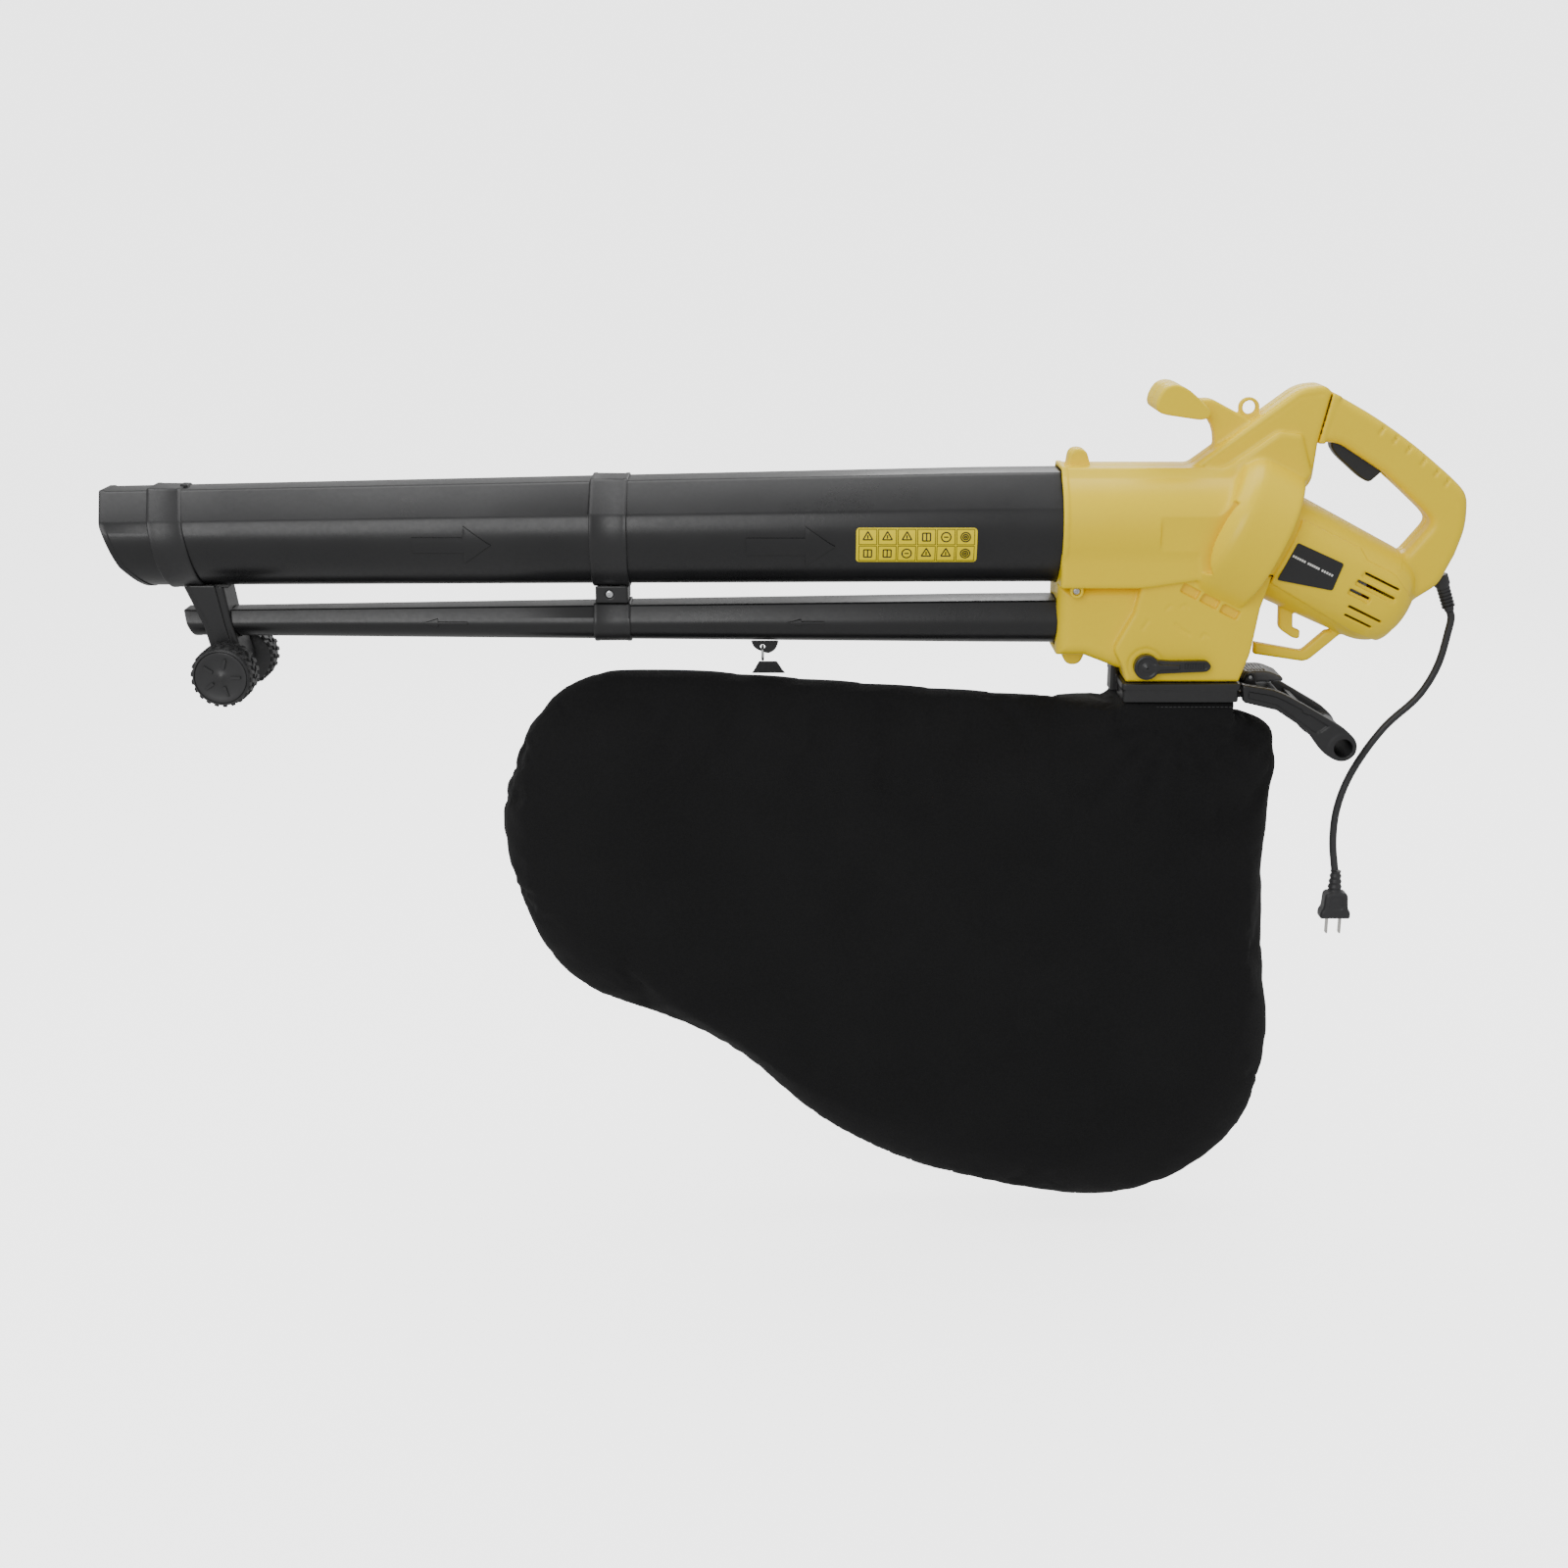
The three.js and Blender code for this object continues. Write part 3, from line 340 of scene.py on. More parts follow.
sleeve_rib = item_of(loft("sleeve_rib", [circle(r, 28, (0, 0, z))
                                         for z, r in [(-0.9, 4.4), (-0.8, 6.1), (0.8, 6.3), (0.9, 4.4)]]))
rib_from = sleeve_tip + sleeve_turn @ Vector((0, 0, 5))
rib_to = sleeve_tip + sleeve_turn @ Vector((0, 0, 22))
sleeve_ribs = grown("cord_sleeve_ribs", row, Item=sleeve_rib, Start=rib_from * 0.001, End=rib_to * 0.001,
                    Count=6, Turn=sleeve_turn.to_euler(), Finish=cord_pvc)
settle(sleeve_ribs, "root", cord_pvc, "cord_rubber")


# ---- Plug ----
# A moulded two-pin plug: a waisted grip in black PVC with a ribbed neck where the cord enters, and
# two flat nickel-plated blades that are moulded in.
def rounded(points, steps=5):
    """The outline through [x, z, radius] corners, each corner with a radius rounded off."""
    spots = [np.array(p[:2], float) for p in points]
    path = []
    for i, corner in enumerate(points):
        here, before, after = spots[i], spots[i - 1], spots[(i + 1) % len(spots)]
        radius = corner[2] if len(corner) > 2 else 0
        if not radius:
            path.append(here)
            continue
        enter, leave = (here + (to - here) / np.linalg.norm(to - here)
                        * min(radius, np.linalg.norm(to - here) / 2.1) for to in (before, after))
        for t in np.linspace(0, 1, steps):
            path.append((1 - t) ** 2 * enter + 2 * t * (1 - t) * here + t * t * leave)
    return np.array(path)


def outline_field(points, u, v):
    """Distance from each (u, v) to a closed outline, negative inside it."""
    nearest, inside = np.full(np.broadcast(u, v).shape, 1e9), np.zeros(np.broadcast(u, v).shape, bool)
    for (ax, ay), (bx, by) in zip(points, np.roll(points, -1, axis=0)):
        ex, ey = bx - ax, by - ay
        along = np.clip(((u - ax) * ex + (v - ay) * ey) / max(ex * ex + ey * ey, 1e-9), 0, 1)
        nearest = np.minimum(nearest, (u - ax - ex * along) ** 2 + (v - ay - ey * along) ** 2)
        if by != ay:
            inside ^= ((ay > v) != (by > v)) & (u < ex * (v - ay) / ey + ax)
    return np.where(inside, -1, 1) * np.sqrt(nearest)


def plate(flat, across, edge):
    """A plate of a flat outline's field and its thickness field, its rim rounded by edge."""
    a, b = flat + edge, across + edge
    return np.minimum(np.maximum(a, b), 0) + np.hypot(np.maximum(a, 0), np.maximum(b, 0)) - edge


def fillet(a, b, radius):
    """Two fields joined, with a fillet where they meet."""
    share = np.clip(0.5 + 0.5 * (b - a) / radius, 0, 1)
    return b * (1 - share) + a * share - radius * share * (1 - share)


class Block:
    """A block of space to mould a piece in: its points, and slabs drawn in X and Z across it."""

    def __init__(self, low, high, step):
        self.low, self.step = np.array(low, float), step
        counts = [int(math.ceil((b - a) / step)) + 1 for a, b in zip(low, high)]
        x, y, z = (a + step * np.arange(n) for a, n in zip(low, counts))
        self.x, self.y, self.z = x[:, None, None], y[None, :, None], z[None, None, :]

    def drawn(self, points):
        return outline_field(rounded(points), self.x[:, 0, :], self.z[:, 0, :])[:, None, :]

    def slab(self, points, half, edge=1.0, centre=0.0):
        return plate(self.drawn(points), np.abs(self.y - centre) - half, edge)

    def rod(self, x, z, radius):
        return np.hypot(self.x - x, self.z - z) - radius

    def skin(self, name, field):
        """The surface where the field is zero, as a mesh of near-square faces."""
        field = np.ascontiguousarray(np.broadcast_to(
            field, (self.x.size, self.y.size, self.z.size))).astype(np.float32)
        solid = field < 0
        filled = sum(solid[i:solid.shape[0] - 1 + i, j:solid.shape[1] - 1 + j, k:solid.shape[2] - 1 + k]
                     .astype(np.int8) for i in (0, 1) for j in (0, 1) for k in (0, 1))
        cells = np.argwhere((filled > 0) & (filled < 8))
        total, hits = np.zeros((len(cells), 3)), np.zeros(len(cells))
        for axis in range(3):
            others = [a for a in range(3) if a != axis]
            for p in (0, 1):
                for q in (0, 1):
                    start = np.zeros(3, int)
                    start[others[0]], start[others[1]] = p, q
                    end = start.copy()
                    end[axis] = 1
                    v0, v1 = field[tuple((cells + start).T)], field[tuple((cells + end).T)]
                    crossed = (v0 < 0) != (v1 < 0)
                    t = np.where(crossed, v0 / np.where(crossed, v0 - v1, 1), 0)
                    spot = start + t[:, None] * (end - start)
                    total += np.where(crossed[:, None], spot, 0)
                    hits += crossed
        points = self.low + self.step * (cells + total / hits[:, None])
        number = np.full([n - 1 for n in field.shape], -1)
        number[tuple(cells.T)] = np.arange(len(cells))
        faces = []
        for axis in range(3):
            b, c = [(1, 2), (2, 0), (0, 1)][axis]
            reach = [slice(None)] * 3
            reach[axis] = slice(0, -1)
            ahead = [slice(None)] * 3
            ahead[axis] = slice(1, None)
            edge = solid[tuple(reach)] != solid[tuple(ahead)]
            at = np.argwhere(edge)
            at = at[(at[:, b] > 0) & (at[:, c] > 0)
                    & (at[:, b] < field.shape[b] - 1) & (at[:, c] < field.shape[c] - 1)]
            step_b, step_c = np.eye(3, dtype=int)[b], np.eye(3, dtype=int)[c]
            ring = [number[tuple((at - s).T)] for s in (step_b * 0, step_b, step_b + step_c, step_c)]
            quads = np.stack(ring, axis=1)
            outward = solid[tuple(at.T)]
            quads[~outward] = quads[~outward][:, ::-1]
            faces.append(quads)
        quads = np.concatenate(faces)
        mesh = bpy.data.meshes.new(name)
        mesh.vertices.add(len(points))
        mesh.vertices.foreach_set("co", (points * 0.001).ravel())
        mesh.loops.add(quads.size)
        mesh.loops.foreach_set("vertex_index", quads.ravel())
        mesh.polygons.add(len(quads))
        mesh.polygons.foreach_set("loop_start", np.arange(0, quads.size, 4))
        mesh.polygons.foreach_set("use_smooth", [True] * len(quads))
        mesh.update(calc_edges=True)
        mesh.validate()
        if volume_of(mesh) < 0:
            mesh.flip_normals()
        made = bpy.data.objects.new(name, mesh)
        bpy.context.collection.objects.link(made)
        return made


plug_x, plug_top, plug_foot = -16.5, -386.8, -434.5
plug_block = Block((plug_x - 18, -12, plug_foot - 3), (plug_x + 18, 12, plug_top + 3), 0.7)
plug_neck_taper = np.interp(plug_block.z, [-414, plug_top], [7.2, 4.7])
plug_neck = np.maximum(
    np.hypot(plug_block.x - plug_x + 1.0, plug_block.y) - plug_neck_taper - 0.5
    * np.cos((plug_block.z - plug_top) * 2 * math.pi / 5.4), np.abs(plug_block.z + 401) - 14)
plug_grip = plug_block.slab([(plug_x - 11, -408, 5), (plug_x + 11, -408, 5), (plug_x + 12, -424, 2),
                             (plug_x + 14.6, -428, 2), (plug_x + 14.6, plug_foot, 2),
                             (plug_x - 14.6, plug_foot, 2), (plug_x - 14.6, -428, 2), (plug_x - 12, -424, 2)],
                            8.3, 3)
plug_dimple = plug_block.slab([(plug_x - 5, -411, 4), (plug_x + 5, -411, 4), (plug_x + 7, -425, 4),
                               (plug_x - 7, -425, 4)], 1.6, 0.6, -9.0)
plug_field = np.maximum(fillet(plug_neck, plug_grip, 2.0), -plug_dimple)
for blade_x in (plug_x - 6.35, plug_x + 6.35):
    pocket = np.maximum(np.maximum(np.abs(plug_block.x - blade_x) - 1.1, np.abs(plug_block.y) - 3.5),
                        plug_block.z - plug_foot - 8)
    plug_field = np.maximum(plug_field, -pocket)
plug = plug_block.skin("mains_plug", plug_field)
settle(plug, "root", cord_pvc, "cord_rubber", "plug_body")


def metal(name, colour, roughness, brushed):
    """Bare metal: drawn or turned, with fine lines, and a little duller in patches."""
    made = Finish(name, Metallic=1.0)
    haze = made.clipped(made.blotches(0.006, 3.0), 0.35, 0.7)
    made.set(Base_Color=made.tint(haze, colour, tuple(0.8 * c for c in colour)),
             Roughness=roughness + 0.14 * haze,
             Normal=made.bump(made.blotches(brushed, 1.0), 0.00003))
    return made.material


def recoat(finish, slot, *names):
    """Gives CAD parts that are shown as they are their real finish."""
    for name in names:
        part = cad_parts[name]
        part.data.materials.clear()
        part.data.materials.append(finish)


nickel = metal("nickel_plate", (0.72, 0.70, 0.66), 0.18, 0.0006)
recoat(nickel, "steel", "plug_blade_left", "plug_blade_right")


# ---- Front housing ----
# Two halves in satin yellow ABS, split on the middle plane and screwed together: the inlet duct with
# its catch tabs, the fan drum, the outlet body, and the neck with cross grip and strap eye.
tilt = math.radians(26)
fan_point = (-124.7, -55.2)
wall = 2.9
yellow = moulded("yellow_abs", (0.96, 0.68, 0.0), (0.99, 0.72, 0.0), 0.36, 0.0016, 0.00004,
                 Coat_Weight=0.06, Coat_Roughness=0.25, Specular_IOR_Level=0.4)


def fan_places(block):
    """How far each point lies along the fan axis, and its two offsets from that axis."""
    dx, dz = block.x - fan_point[0], block.z - fan_point[1]
    along = dx * math.cos(tilt) - dz * math.sin(tilt)
    lift = dx * math.sin(tilt) + dz * math.cos(tilt)
    return along, lift


def turned_field(profile, along, radius):
    """A body turned about an axis from its [along, radius] outline."""
    return outline_field(rounded(profile, 4), along, radius)


def duct_field(block, grow):
    """The inlet duct's section: a round bore with a flat-topped ridge."""
    radius, middle = 52 + grow, -50.1
    round_part = np.hypot(block.y, block.z - middle) - radius
    y, z = np.broadcast_arrays(block.y[0], block.z[0])
    ridge = [(-0.906 * radius, middle + 0.423 * radius), (-22, middle + radius), (22, middle + radius),
             (0.906 * radius, middle + 0.423 * radius)]
    return np.minimum(round_part, outline_field(np.array(ridge), y, z)[None])


def blower_field(block, grow):
    """The blower socket's section, a flat-topped oval."""
    rx, rz, middle = 28 + grow, 21.5 + grow, -138.5
    oval = (np.hypot(block.y / rx, (block.z - middle) / rz) - 1) * rz
    return np.minimum(oval, np.maximum(np.abs(block.y) - 20, np.abs(block.z - middle) - rz))


def groove(block, line, width, depth, face):
    """A channel of that width and depth along an [x, z] line, let into a face at that y."""
    x, z = block.x[:, 0, :], block.z[:, 0, :]
    nearest = np.full(np.broadcast(x, z).shape, 1e9)
    for (ax, az), (bx, bz) in zip(line, line[1:]):
        ex, ez = bx - ax, bz - az
        along = np.clip(((x - ax) * ex + (z - az) * ez) / (ex * ex + ez * ez), 0, 1)
        nearest = np.minimum(nearest, np.hypot(x - ax - ex * along, z - az - ez * along))
    return np.maximum(nearest[:, None, :] - width / 2, np.abs(block.y - face) - depth)


def front_half(side):
    block = Block((-305, -79, -193), (-49, 2, 84), 1.25)
    along, lift = fan_places(block)
    radius = np.hypot(block.y, lift + 4)
    duct = np.maximum(duct_field(block, 3.3), np.maximum(-301 - block.x, block.x + 140))
    skirt = block.slab([(-301, -50), (-301, -100.5), (-226, -100.5, 6), (-168, -92), (-140, -60)], 51.5, 4)
    lip = np.maximum(duct_field(block, 4.5), np.abs(block.x + 298.5) - 2.5)
    drum = turned_field([(-38, -5), (-38, 63, 3), (-27, 74.6, 8), (19.6, 74.6, 5), (19.6, -5)], along, radius)
    socket = block.slab([(-301, -101), (-301, -166.5, 2), (-275, -166.5), (-240, -180, 4), (-222, -120),
                         (-226, -101)], 37, 12)
    body = block.slab([(-226, -97), (-232, -124), (-250, -158, 6), (-240, -176, 5), (-237, -189),
                       (-133, -189), (-123.5, -162, 5), (-117, -120), (-108, -90), (-170, -88)], 44, 3.5)
    tabs = np.minimum(block.slab([(-296, -8), (-292, 21, 7), (-277, 21, 7), (-269, -8)], 10, 2.5),
                      block.slab([(-296, -155), (-289, -180.5, 7), (-275, -180.5, 7), (-266, -155)], 10, 2.5))
    neck = block.slab([(-192, -2), (-87, 76.5, 9), (-66, 79, 8), (-58.9, 72.5), (-68.8, 27), (-72, -8, 6),
                       (-100, -40), (-180, -30)], 19, 5)
    flank = block.slab([(-184, -8), (-156, 3, 8), (-106, 39, 4), (-84, 36, 4), (-73, 0), (-90, -30),
                        (-170, -30)], 25, 6)
    web = block.slab([(-186, 64), (-166, 66, 6), (-124, 44, 10), (-130, 20), (-160, 10),
                      (-161, 42, 14)], 9, 3)
    grip = block.slab([(-222, 55, 14), (-213, 79.5, 16), (-194, 80.5, 16), (-167, 55, 8),
                       (-174, 48, 8)], 28, 1.6)
    eye = np.maximum(np.abs(block.y) - 3, np.minimum(
        block.rod(-130, 57, 9.5), block.slab([(-141, 38), (-139, 56), (-121, 56), (-119, 38)], 3, 0)))
    body_all = fillet(duct, drum, 7)
    body_all = fillet(body_all, fillet(fillet(body, socket, 3), skirt, 1.5), 2)
    body_all = fillet(body_all, fillet(neck, flank, 2), 4)
    body_all = fillet(body_all, fillet(web, grip, 4), 4)
    body_all = np.minimum(np.minimum(np.minimum(body_all, tabs), lip), eye)
    panel = block.slab([(-213, -26, 2), (-146, -20, 2), (-152, -84, 2), (-213, -88, 2)], 4, 0.5, -57)
    body_all = np.maximum(body_all, -panel)
    for px, pz in ((-182, -104), (-163.5, -113), (-145, -123)):
        u = (block.x - px) * 0.89 - (block.z - pz) * 0.456
        w = (block.x - px) * 0.456 + (block.z - pz) * 0.89
        pocket = np.maximum(np.maximum(np.abs(u) - 8.6, np.abs(w) - 4.2), np.abs(block.y + 46) - 7.5)
        body_all = np.maximum(body_all, -pocket)
    seat = np.maximum(block.rod(-285.6, -104, 6.2), np.abs(block.y + 41.5) - 4.5)
    hollow = np.maximum(body_all + wall, -np.maximum(block.rod(-285.6, -104, 5.5), block.y + 8))
    hollow = np.maximum(hollow, -(eye - 1))
    field = np.maximum(np.minimum(body_all, seat), -hollow)
    if side < 0:
        for mark in ([(-224, -139), (-219, -130.5)], [(-190, -118.5), (-186, -116), (-183, -119)],
                     [(-194, -134), (-188, -140), (-181, -144)],
                     [(-170, -147), (-167, -143.5), (-163.5, -146)],
                     [(-204, -121), (-199, -117)]):
            field = np.maximum(field, -groove(block, mark, 2.2, 1.1, -44))
        selector_seat = np.maximum(np.abs(block.rod(-220, -172.8, 15.5)) - 0.9, np.abs(block.y + 44) - 1.0)
        field = np.maximum(field, -selector_seat)
    rim = groove(block, [(-183, -2.5), (-88, 68), (-68, 71)], 1.6, 0.6, -19)
    field = np.maximum(field, -rim)
    inlet = np.maximum(duct_field(block, 0.35), np.abs(block.x + 290) - 40)
    blower_end = np.maximum(blower_field(block, 0.35), block.x + 240)
    bag_mouth = np.maximum(np.maximum(np.abs(block.x + 186.5) - 46, np.abs(block.y) - 40.5), block.z + 176)
    shaft = np.maximum(np.hypot(block.y, lift) - 11.3, np.abs(along - 18) - 9)
    pivot = block.rod(-220, -172.8, 4.15)
    screw = np.maximum(block.rod(-285.6, -104, 3.7), np.abs(block.y + 46) - 4.4)
    screw = np.minimum(screw, np.maximum(block.rod(-285.6, -104, 2.05), block.y + 22.8))
    holes = [inlet, blower_end, bag_mouth, shaft, np.maximum(pivot, block.y + 20), screw,
             np.maximum(block.rod(-130, 57.5, 6), np.abs(block.y) - 9)]
    if side > 0:
        far_screw = np.maximum(block.rod(-146, -176, 3.7), np.abs(block.y + 46) - 4.4)
        holes.append(np.minimum(far_screw, np.maximum(block.rod(-146, -176, 2.05), block.y + 22.8)))
    for hole in holes:
        field = np.maximum(field, -hole)
    motor_room = np.maximum(np.maximum(np.hypot(block.y, lift) - 50.4, 20.1 - along), -body)
    field = np.maximum(np.maximum(field, -motor_room), block.y + 0.15)
    return block.skin("front_housing_half", field)


def other_side(piece):
    """Turns a near half into a far half; its faces are turned back outwards."""
    piece.data.transform(Matrix.Scale(-1, 4, (0, 1, 0)))
    piece.data.flip_normals()
    return piece


for side, word in ((-1, "near"), (1, "far")):
    half = front_half(side)
    half.name = "fan_housing_" + word
    if side > 0:
        other_side(half)
    settle(half, "root", yellow, "yellow_plastic", "front_housing_" + word)


# ---- Rear housing ----
# Two more yellow halves behind the fan: a closed-loop rear grip that holds switch and trigger, the
# barrel round the motor with its cooling slots, and a guard loop with a cord hook below.
motor_profile = [(20.4, -5), (20.4, 50), (138, 46, 10), (152, 40, 5), (164, 26, 5), (164, -5)]
vents = [(14, 102, 142), (5, 100, 142), (-5, 98, 120), (-19, 104, 142), (-27.5, 106, 138)]


trigger_pin_x, trigger_pin_z = -47, 35


def rear_half(side):
    block = Block((-114, -52, -183), (77, 2, 76), 1.25)
    along, lift = fan_places(block)
    radius = np.hypot(block.y, lift)
    barrel = plate(turned_field(motor_profile, along, radius), np.abs(block.y) - 46.5, 2.5)
    grip = block.slab([(-58, 72.4), (-17, 50, 20), (20, 25, 20), (58, -6, 12), (72, -20, 10), (73, -50, 12),
                       (65, -76), (52, -104, 8), (20, -125), (0, -95), (22, -71, 6), (42, -46, 8),
                       (35, -37, 6),
                       (15, -19), (-7, 0), (-50, 27, 8), (-68, 27)], 19, 8)
    collar = block.slab([(-62, 74), (-50, 68.5), (-62, 26), (-70, 26)], 19.4, 4)
    guard = block.slab([(-112, -160), (-67, -168.2, 3), (-46, -149), (-28, -149), (-62, -179, 6),
                        (-112, -171.5)], 5.5, 3)
    hook = block.slab([(-91, -122), (-90, -147, 4), (-76, -156.5, 4), (-70, -156.5, 2), (-70, -149),
                       (-77, -146, 2), (-78, -128)], 5.5, 2)
    ledge = plate(outline_field(rounded([(30, 33, 2), (92, 33, 3), (101, 26, 3), (130, 26, 3), (158, 12, 3),
                                         (158, -36, 6), (126, -38, 6), (30, -30, 3)]), along, lift),
                  np.abs(block.y) - 48.2, 1.2)
    body_all = fillet(fillet(barrel, grip, 5), np.minimum(guard, hook), 2)
    body_all = np.minimum(body_all, collar)
    ledge = np.maximum(ledge, barrel - 2.2)
    outside = np.minimum(body_all, ledge)
    bearing_post = np.maximum(radius - 14, 140 - along)
    bosses = np.maximum(block.rod(trigger_pin_x, trigger_pin_z, 5), np.abs(block.y + 13) - 3.6)
    hollow = np.maximum(np.maximum(body_all + wall, -bearing_post), -bosses)
    hollow = np.maximum(hollow, 18 - along - 30 * (block.z > -20))
    field = np.maximum(outside, -hollow)
    for rise, start, end in vents:
        reach = np.abs(along - (start + end) / 2) - (end - start) / 2
        trough = np.maximum(np.maximum(np.abs(lift - rise) - 2.9, reach), np.abs(block.y + 49) - 4.3)
        slit = np.maximum(np.maximum(np.abs(lift - rise - 1.5) - 0.9, reach + 1.5), block.y + 35)
        field = np.maximum(field, -np.minimum(trough, slit))
    for rib_x, rib_z in ((-13, 38), (0, 30), (13, 21), (27, 10), (40, 0), (50, -9)):
        notch = groove(block, [(rib_x + 6, rib_z + 8), (rib_x - 1, rib_z - 2)], 3.2, 2.6, -19)
        field = np.maximum(field, np.minimum(-notch, body_all + 1.5))
    seat = np.maximum(np.abs(lift - 2) - 17, np.abs(along - 57) - 28)
    trigger_slot = np.maximum(np.maximum(np.abs(block.x + 27) - 30, np.abs(block.y) - 8.8),
                              np.abs(block.z - 11) - 23)
    motor_bore = np.maximum(radius - 43.5, np.abs(along - 75) - 62)
    motor_bore = np.maximum(motor_bore, np.abs(block.y) - 43.4)
    bearing = np.maximum(radius - 11.3, np.abs(along - 150.8) - 6.4)
    gland_x, gland_z = 57.2, -97.2
    u = (block.x - gland_x) * math.cos(-0.35) - (block.z - gland_z) * math.sin(-0.35)
    w = (block.x - gland_x) * math.sin(-0.35) + (block.z - gland_z) * math.cos(-0.35)
    gland = np.maximum(np.hypot(u, block.y) - 7.8, np.abs(w + 6) - 14)
    pin = np.maximum(block.rod(trigger_pin_x, trigger_pin_z, 2.3), np.abs(block.y) - 17.4)
    drum = np.maximum(np.maximum(np.hypot(block.y, lift + 4) - 75.3, along - 20.3), -38 - along)
    below = block.drawn([(-160, -200), (-132.4, -189), (-122.9, -162), (-116.4, -120),
                         (-107, -89), (-160, -89)])
    for hole in (trigger_slot, motor_bore, bearing, gland, pin, drum, below):
        field = np.maximum(field, -hole)
    switch_room = np.maximum(block.drawn([(0, 26), (31, 7), (24, -10), (3, 2)]), np.abs(block.y) - 12.6)
    field = np.maximum(np.maximum(field, -switch_room), -np.maximum(seat, np.abs(block.y + 48.6) - 0.5))
    neck = np.maximum(block.drawn([(-192, 0), (-87, 77), (-66, 79.4), (-58.3, 72.5), (-68.3, 27), (-71.6, -8),
                                   (-100, -40), (-180, -30)]), np.abs(block.y) - 20)
    field = np.maximum(np.maximum(field, -neck), block.y + 0.15)
    return block.skin("rear_housing_half", field)


for side, word in ((-1, "near"), (1, "far")):
    half = rear_half(side)
    half.name = "motor_housing_" + word
    if side > 0:
        other_side(half)
    settle(half, "root", yellow, "yellow_plastic", "rear_housing_" + word)


# ---- Housing screws ----
# Zinc-plated pan-head screws with a cross recess, driven into bosses: one on each side of the inlet
# duct's foot and one low on the far side.
def pan_head():
    """One screw head, its domed face towards -Y, with a cross recess."""
    block = Block((-4.2, -3.2, -4.2), (4.2, 1.2, 4.2), 0.22)
    r = np.hypot(block.x, block.z)
    dome = np.maximum(np.hypot(r, block.y - 5.2) - 7.2, np.maximum(r - 3.35, block.y - 0.9))
    cross = np.minimum(np.maximum(np.abs(block.x) - 0.42, np.abs(block.z) - 1.9),
                       np.maximum(np.abs(block.z) - 0.42, np.abs(block.x) - 1.9))
    return item_of(block.skin("screw_head", np.maximum(dome, -np.maximum(cross, block.y + 0.6))))


def spots_tree():
    """One item set down at one spot and turned there."""
    tree = node_tree("spots", {"Item": "Object", "Spot": "Vector", "Turn": "Rotation", "Finish": "Material"})
    source = tree.nodes.new("NodeGroupInput").outputs
    point = chain(tree, "GeometryNodePoints", {}, {"Count": 1, "Position": source["Spot"]})
    item = chain(tree, "GeometryNodeObjectInfo", {}, {"Object": source["Item"]}, "Geometry")
    copies = chain(tree, "GeometryNodeInstanceOnPoints", {},
                   {"Points": point, "Instance": item, "Rotation": source["Turn"]})
    return finish_tree(tree, copies, source)


zinc = metal("zinc_plate", (0.62, 0.63, 0.64), 0.26, 0.0008)
screw_item, spots = pan_head(), spots_tree()
screw_places = [(-285.6, -104, -42.6, 0, 1), (-285.6, -104, 42.6, math.pi, 2), (-146, -176, 42.6, math.pi, 3)]
for x, z, y, turn, number in screw_places:
    head = grown("screw_head_%d" % number, spots, Item=screw_item, Spot=Vector((x, y, z)) * 0.001,
                 Turn=(0.0, 0.4, turn), Finish=zinc)
    settle(head, "root", zinc, "steel", "housing_screw_%d" % number)


# ---- Name plate ----
# A thin black foil plate stuck in a seat on the motor barrel, with one plain line of white print.
def tilted(points, y):
    """Points given along and above the fan axis, as points of the machine at that y."""
    return [(fan_point[0] + a * math.cos(tilt) + b * math.sin(tilt), y,
             fan_point[1] - a * math.sin(tilt) + b * math.cos(tilt)) for a, b in points]


def flat_plate(name, outline, front, back):
    """A thin plate between two y faces, its front rim chamfered."""
    middle = outline.mean(axis=0)
    inner = outline + (middle - outline) / np.linalg.norm(middle - outline, axis=1)[:, None] * 0.3
    return loft(name, [tilted(outline, back), tilted(outline, front + 0.3), tilted(inner, front)])


plate_black = moulded("plate_black", (0.012, 0.012, 0.013), (0.016, 0.016, 0.017), 0.34, 0.0009, 0.00002)
name_plate = flat_plate("name_plate_foil", rounded([(34, 13, 2), (81, 14.5, 2), (84, -11.5, 2),
                                                    (34, -25, 2)]), -48.75, -47.6)
settle(name_plate, "root", plate_black, "plate_black", "name_plate")
white_print = Finish("white_print", Roughness=0.5)
white_print.set(Base_Color=white_print.tint(white_print.blotches(0.002), (0.80, 0.80, 0.78),
                                            (0.70, 0.70, 0.68)))
dash_item = item_of(loft("print_dash", [[(-0.85, y, -1.0), (0.85, y, -1.0), (0.85, y, 1.0), (-0.85, y, 1.0)]
                                        for y in (-0.05, 0.05)]))
for start, end, count, number in ((36.5, 48, 6, 1), (52, 62.5, 6, 2), (66.5, 76.5, 5, 3)):
    line = tilted([(start, 0.6), (end, 0.6)], -48.8)
    print_row = grown("plate_print_%d" % number, row, Item=dash_item, Start=Vector(line[0]) * 0.001,
                      End=Vector(line[1]) * 0.001, Count=count, Turn=(0.0, tilt, 0.0),
                      Finish=white_print.material)
    settle(print_row, "root", white_print.material, "plate_black")


# ---- Suction tube ----
# Two lengths of blow-moulded black polypropylene, flat-topped with two ridges, narrowing a little to
# a slanted mouth; flow arrows stand out of the near side of each.
tube_black = moulded("tube_polypropylene", (0.008, 0.008, 0.0088), (0.013, 0.013, 0.014), 0.30, 0.0035,
                      0.00003)


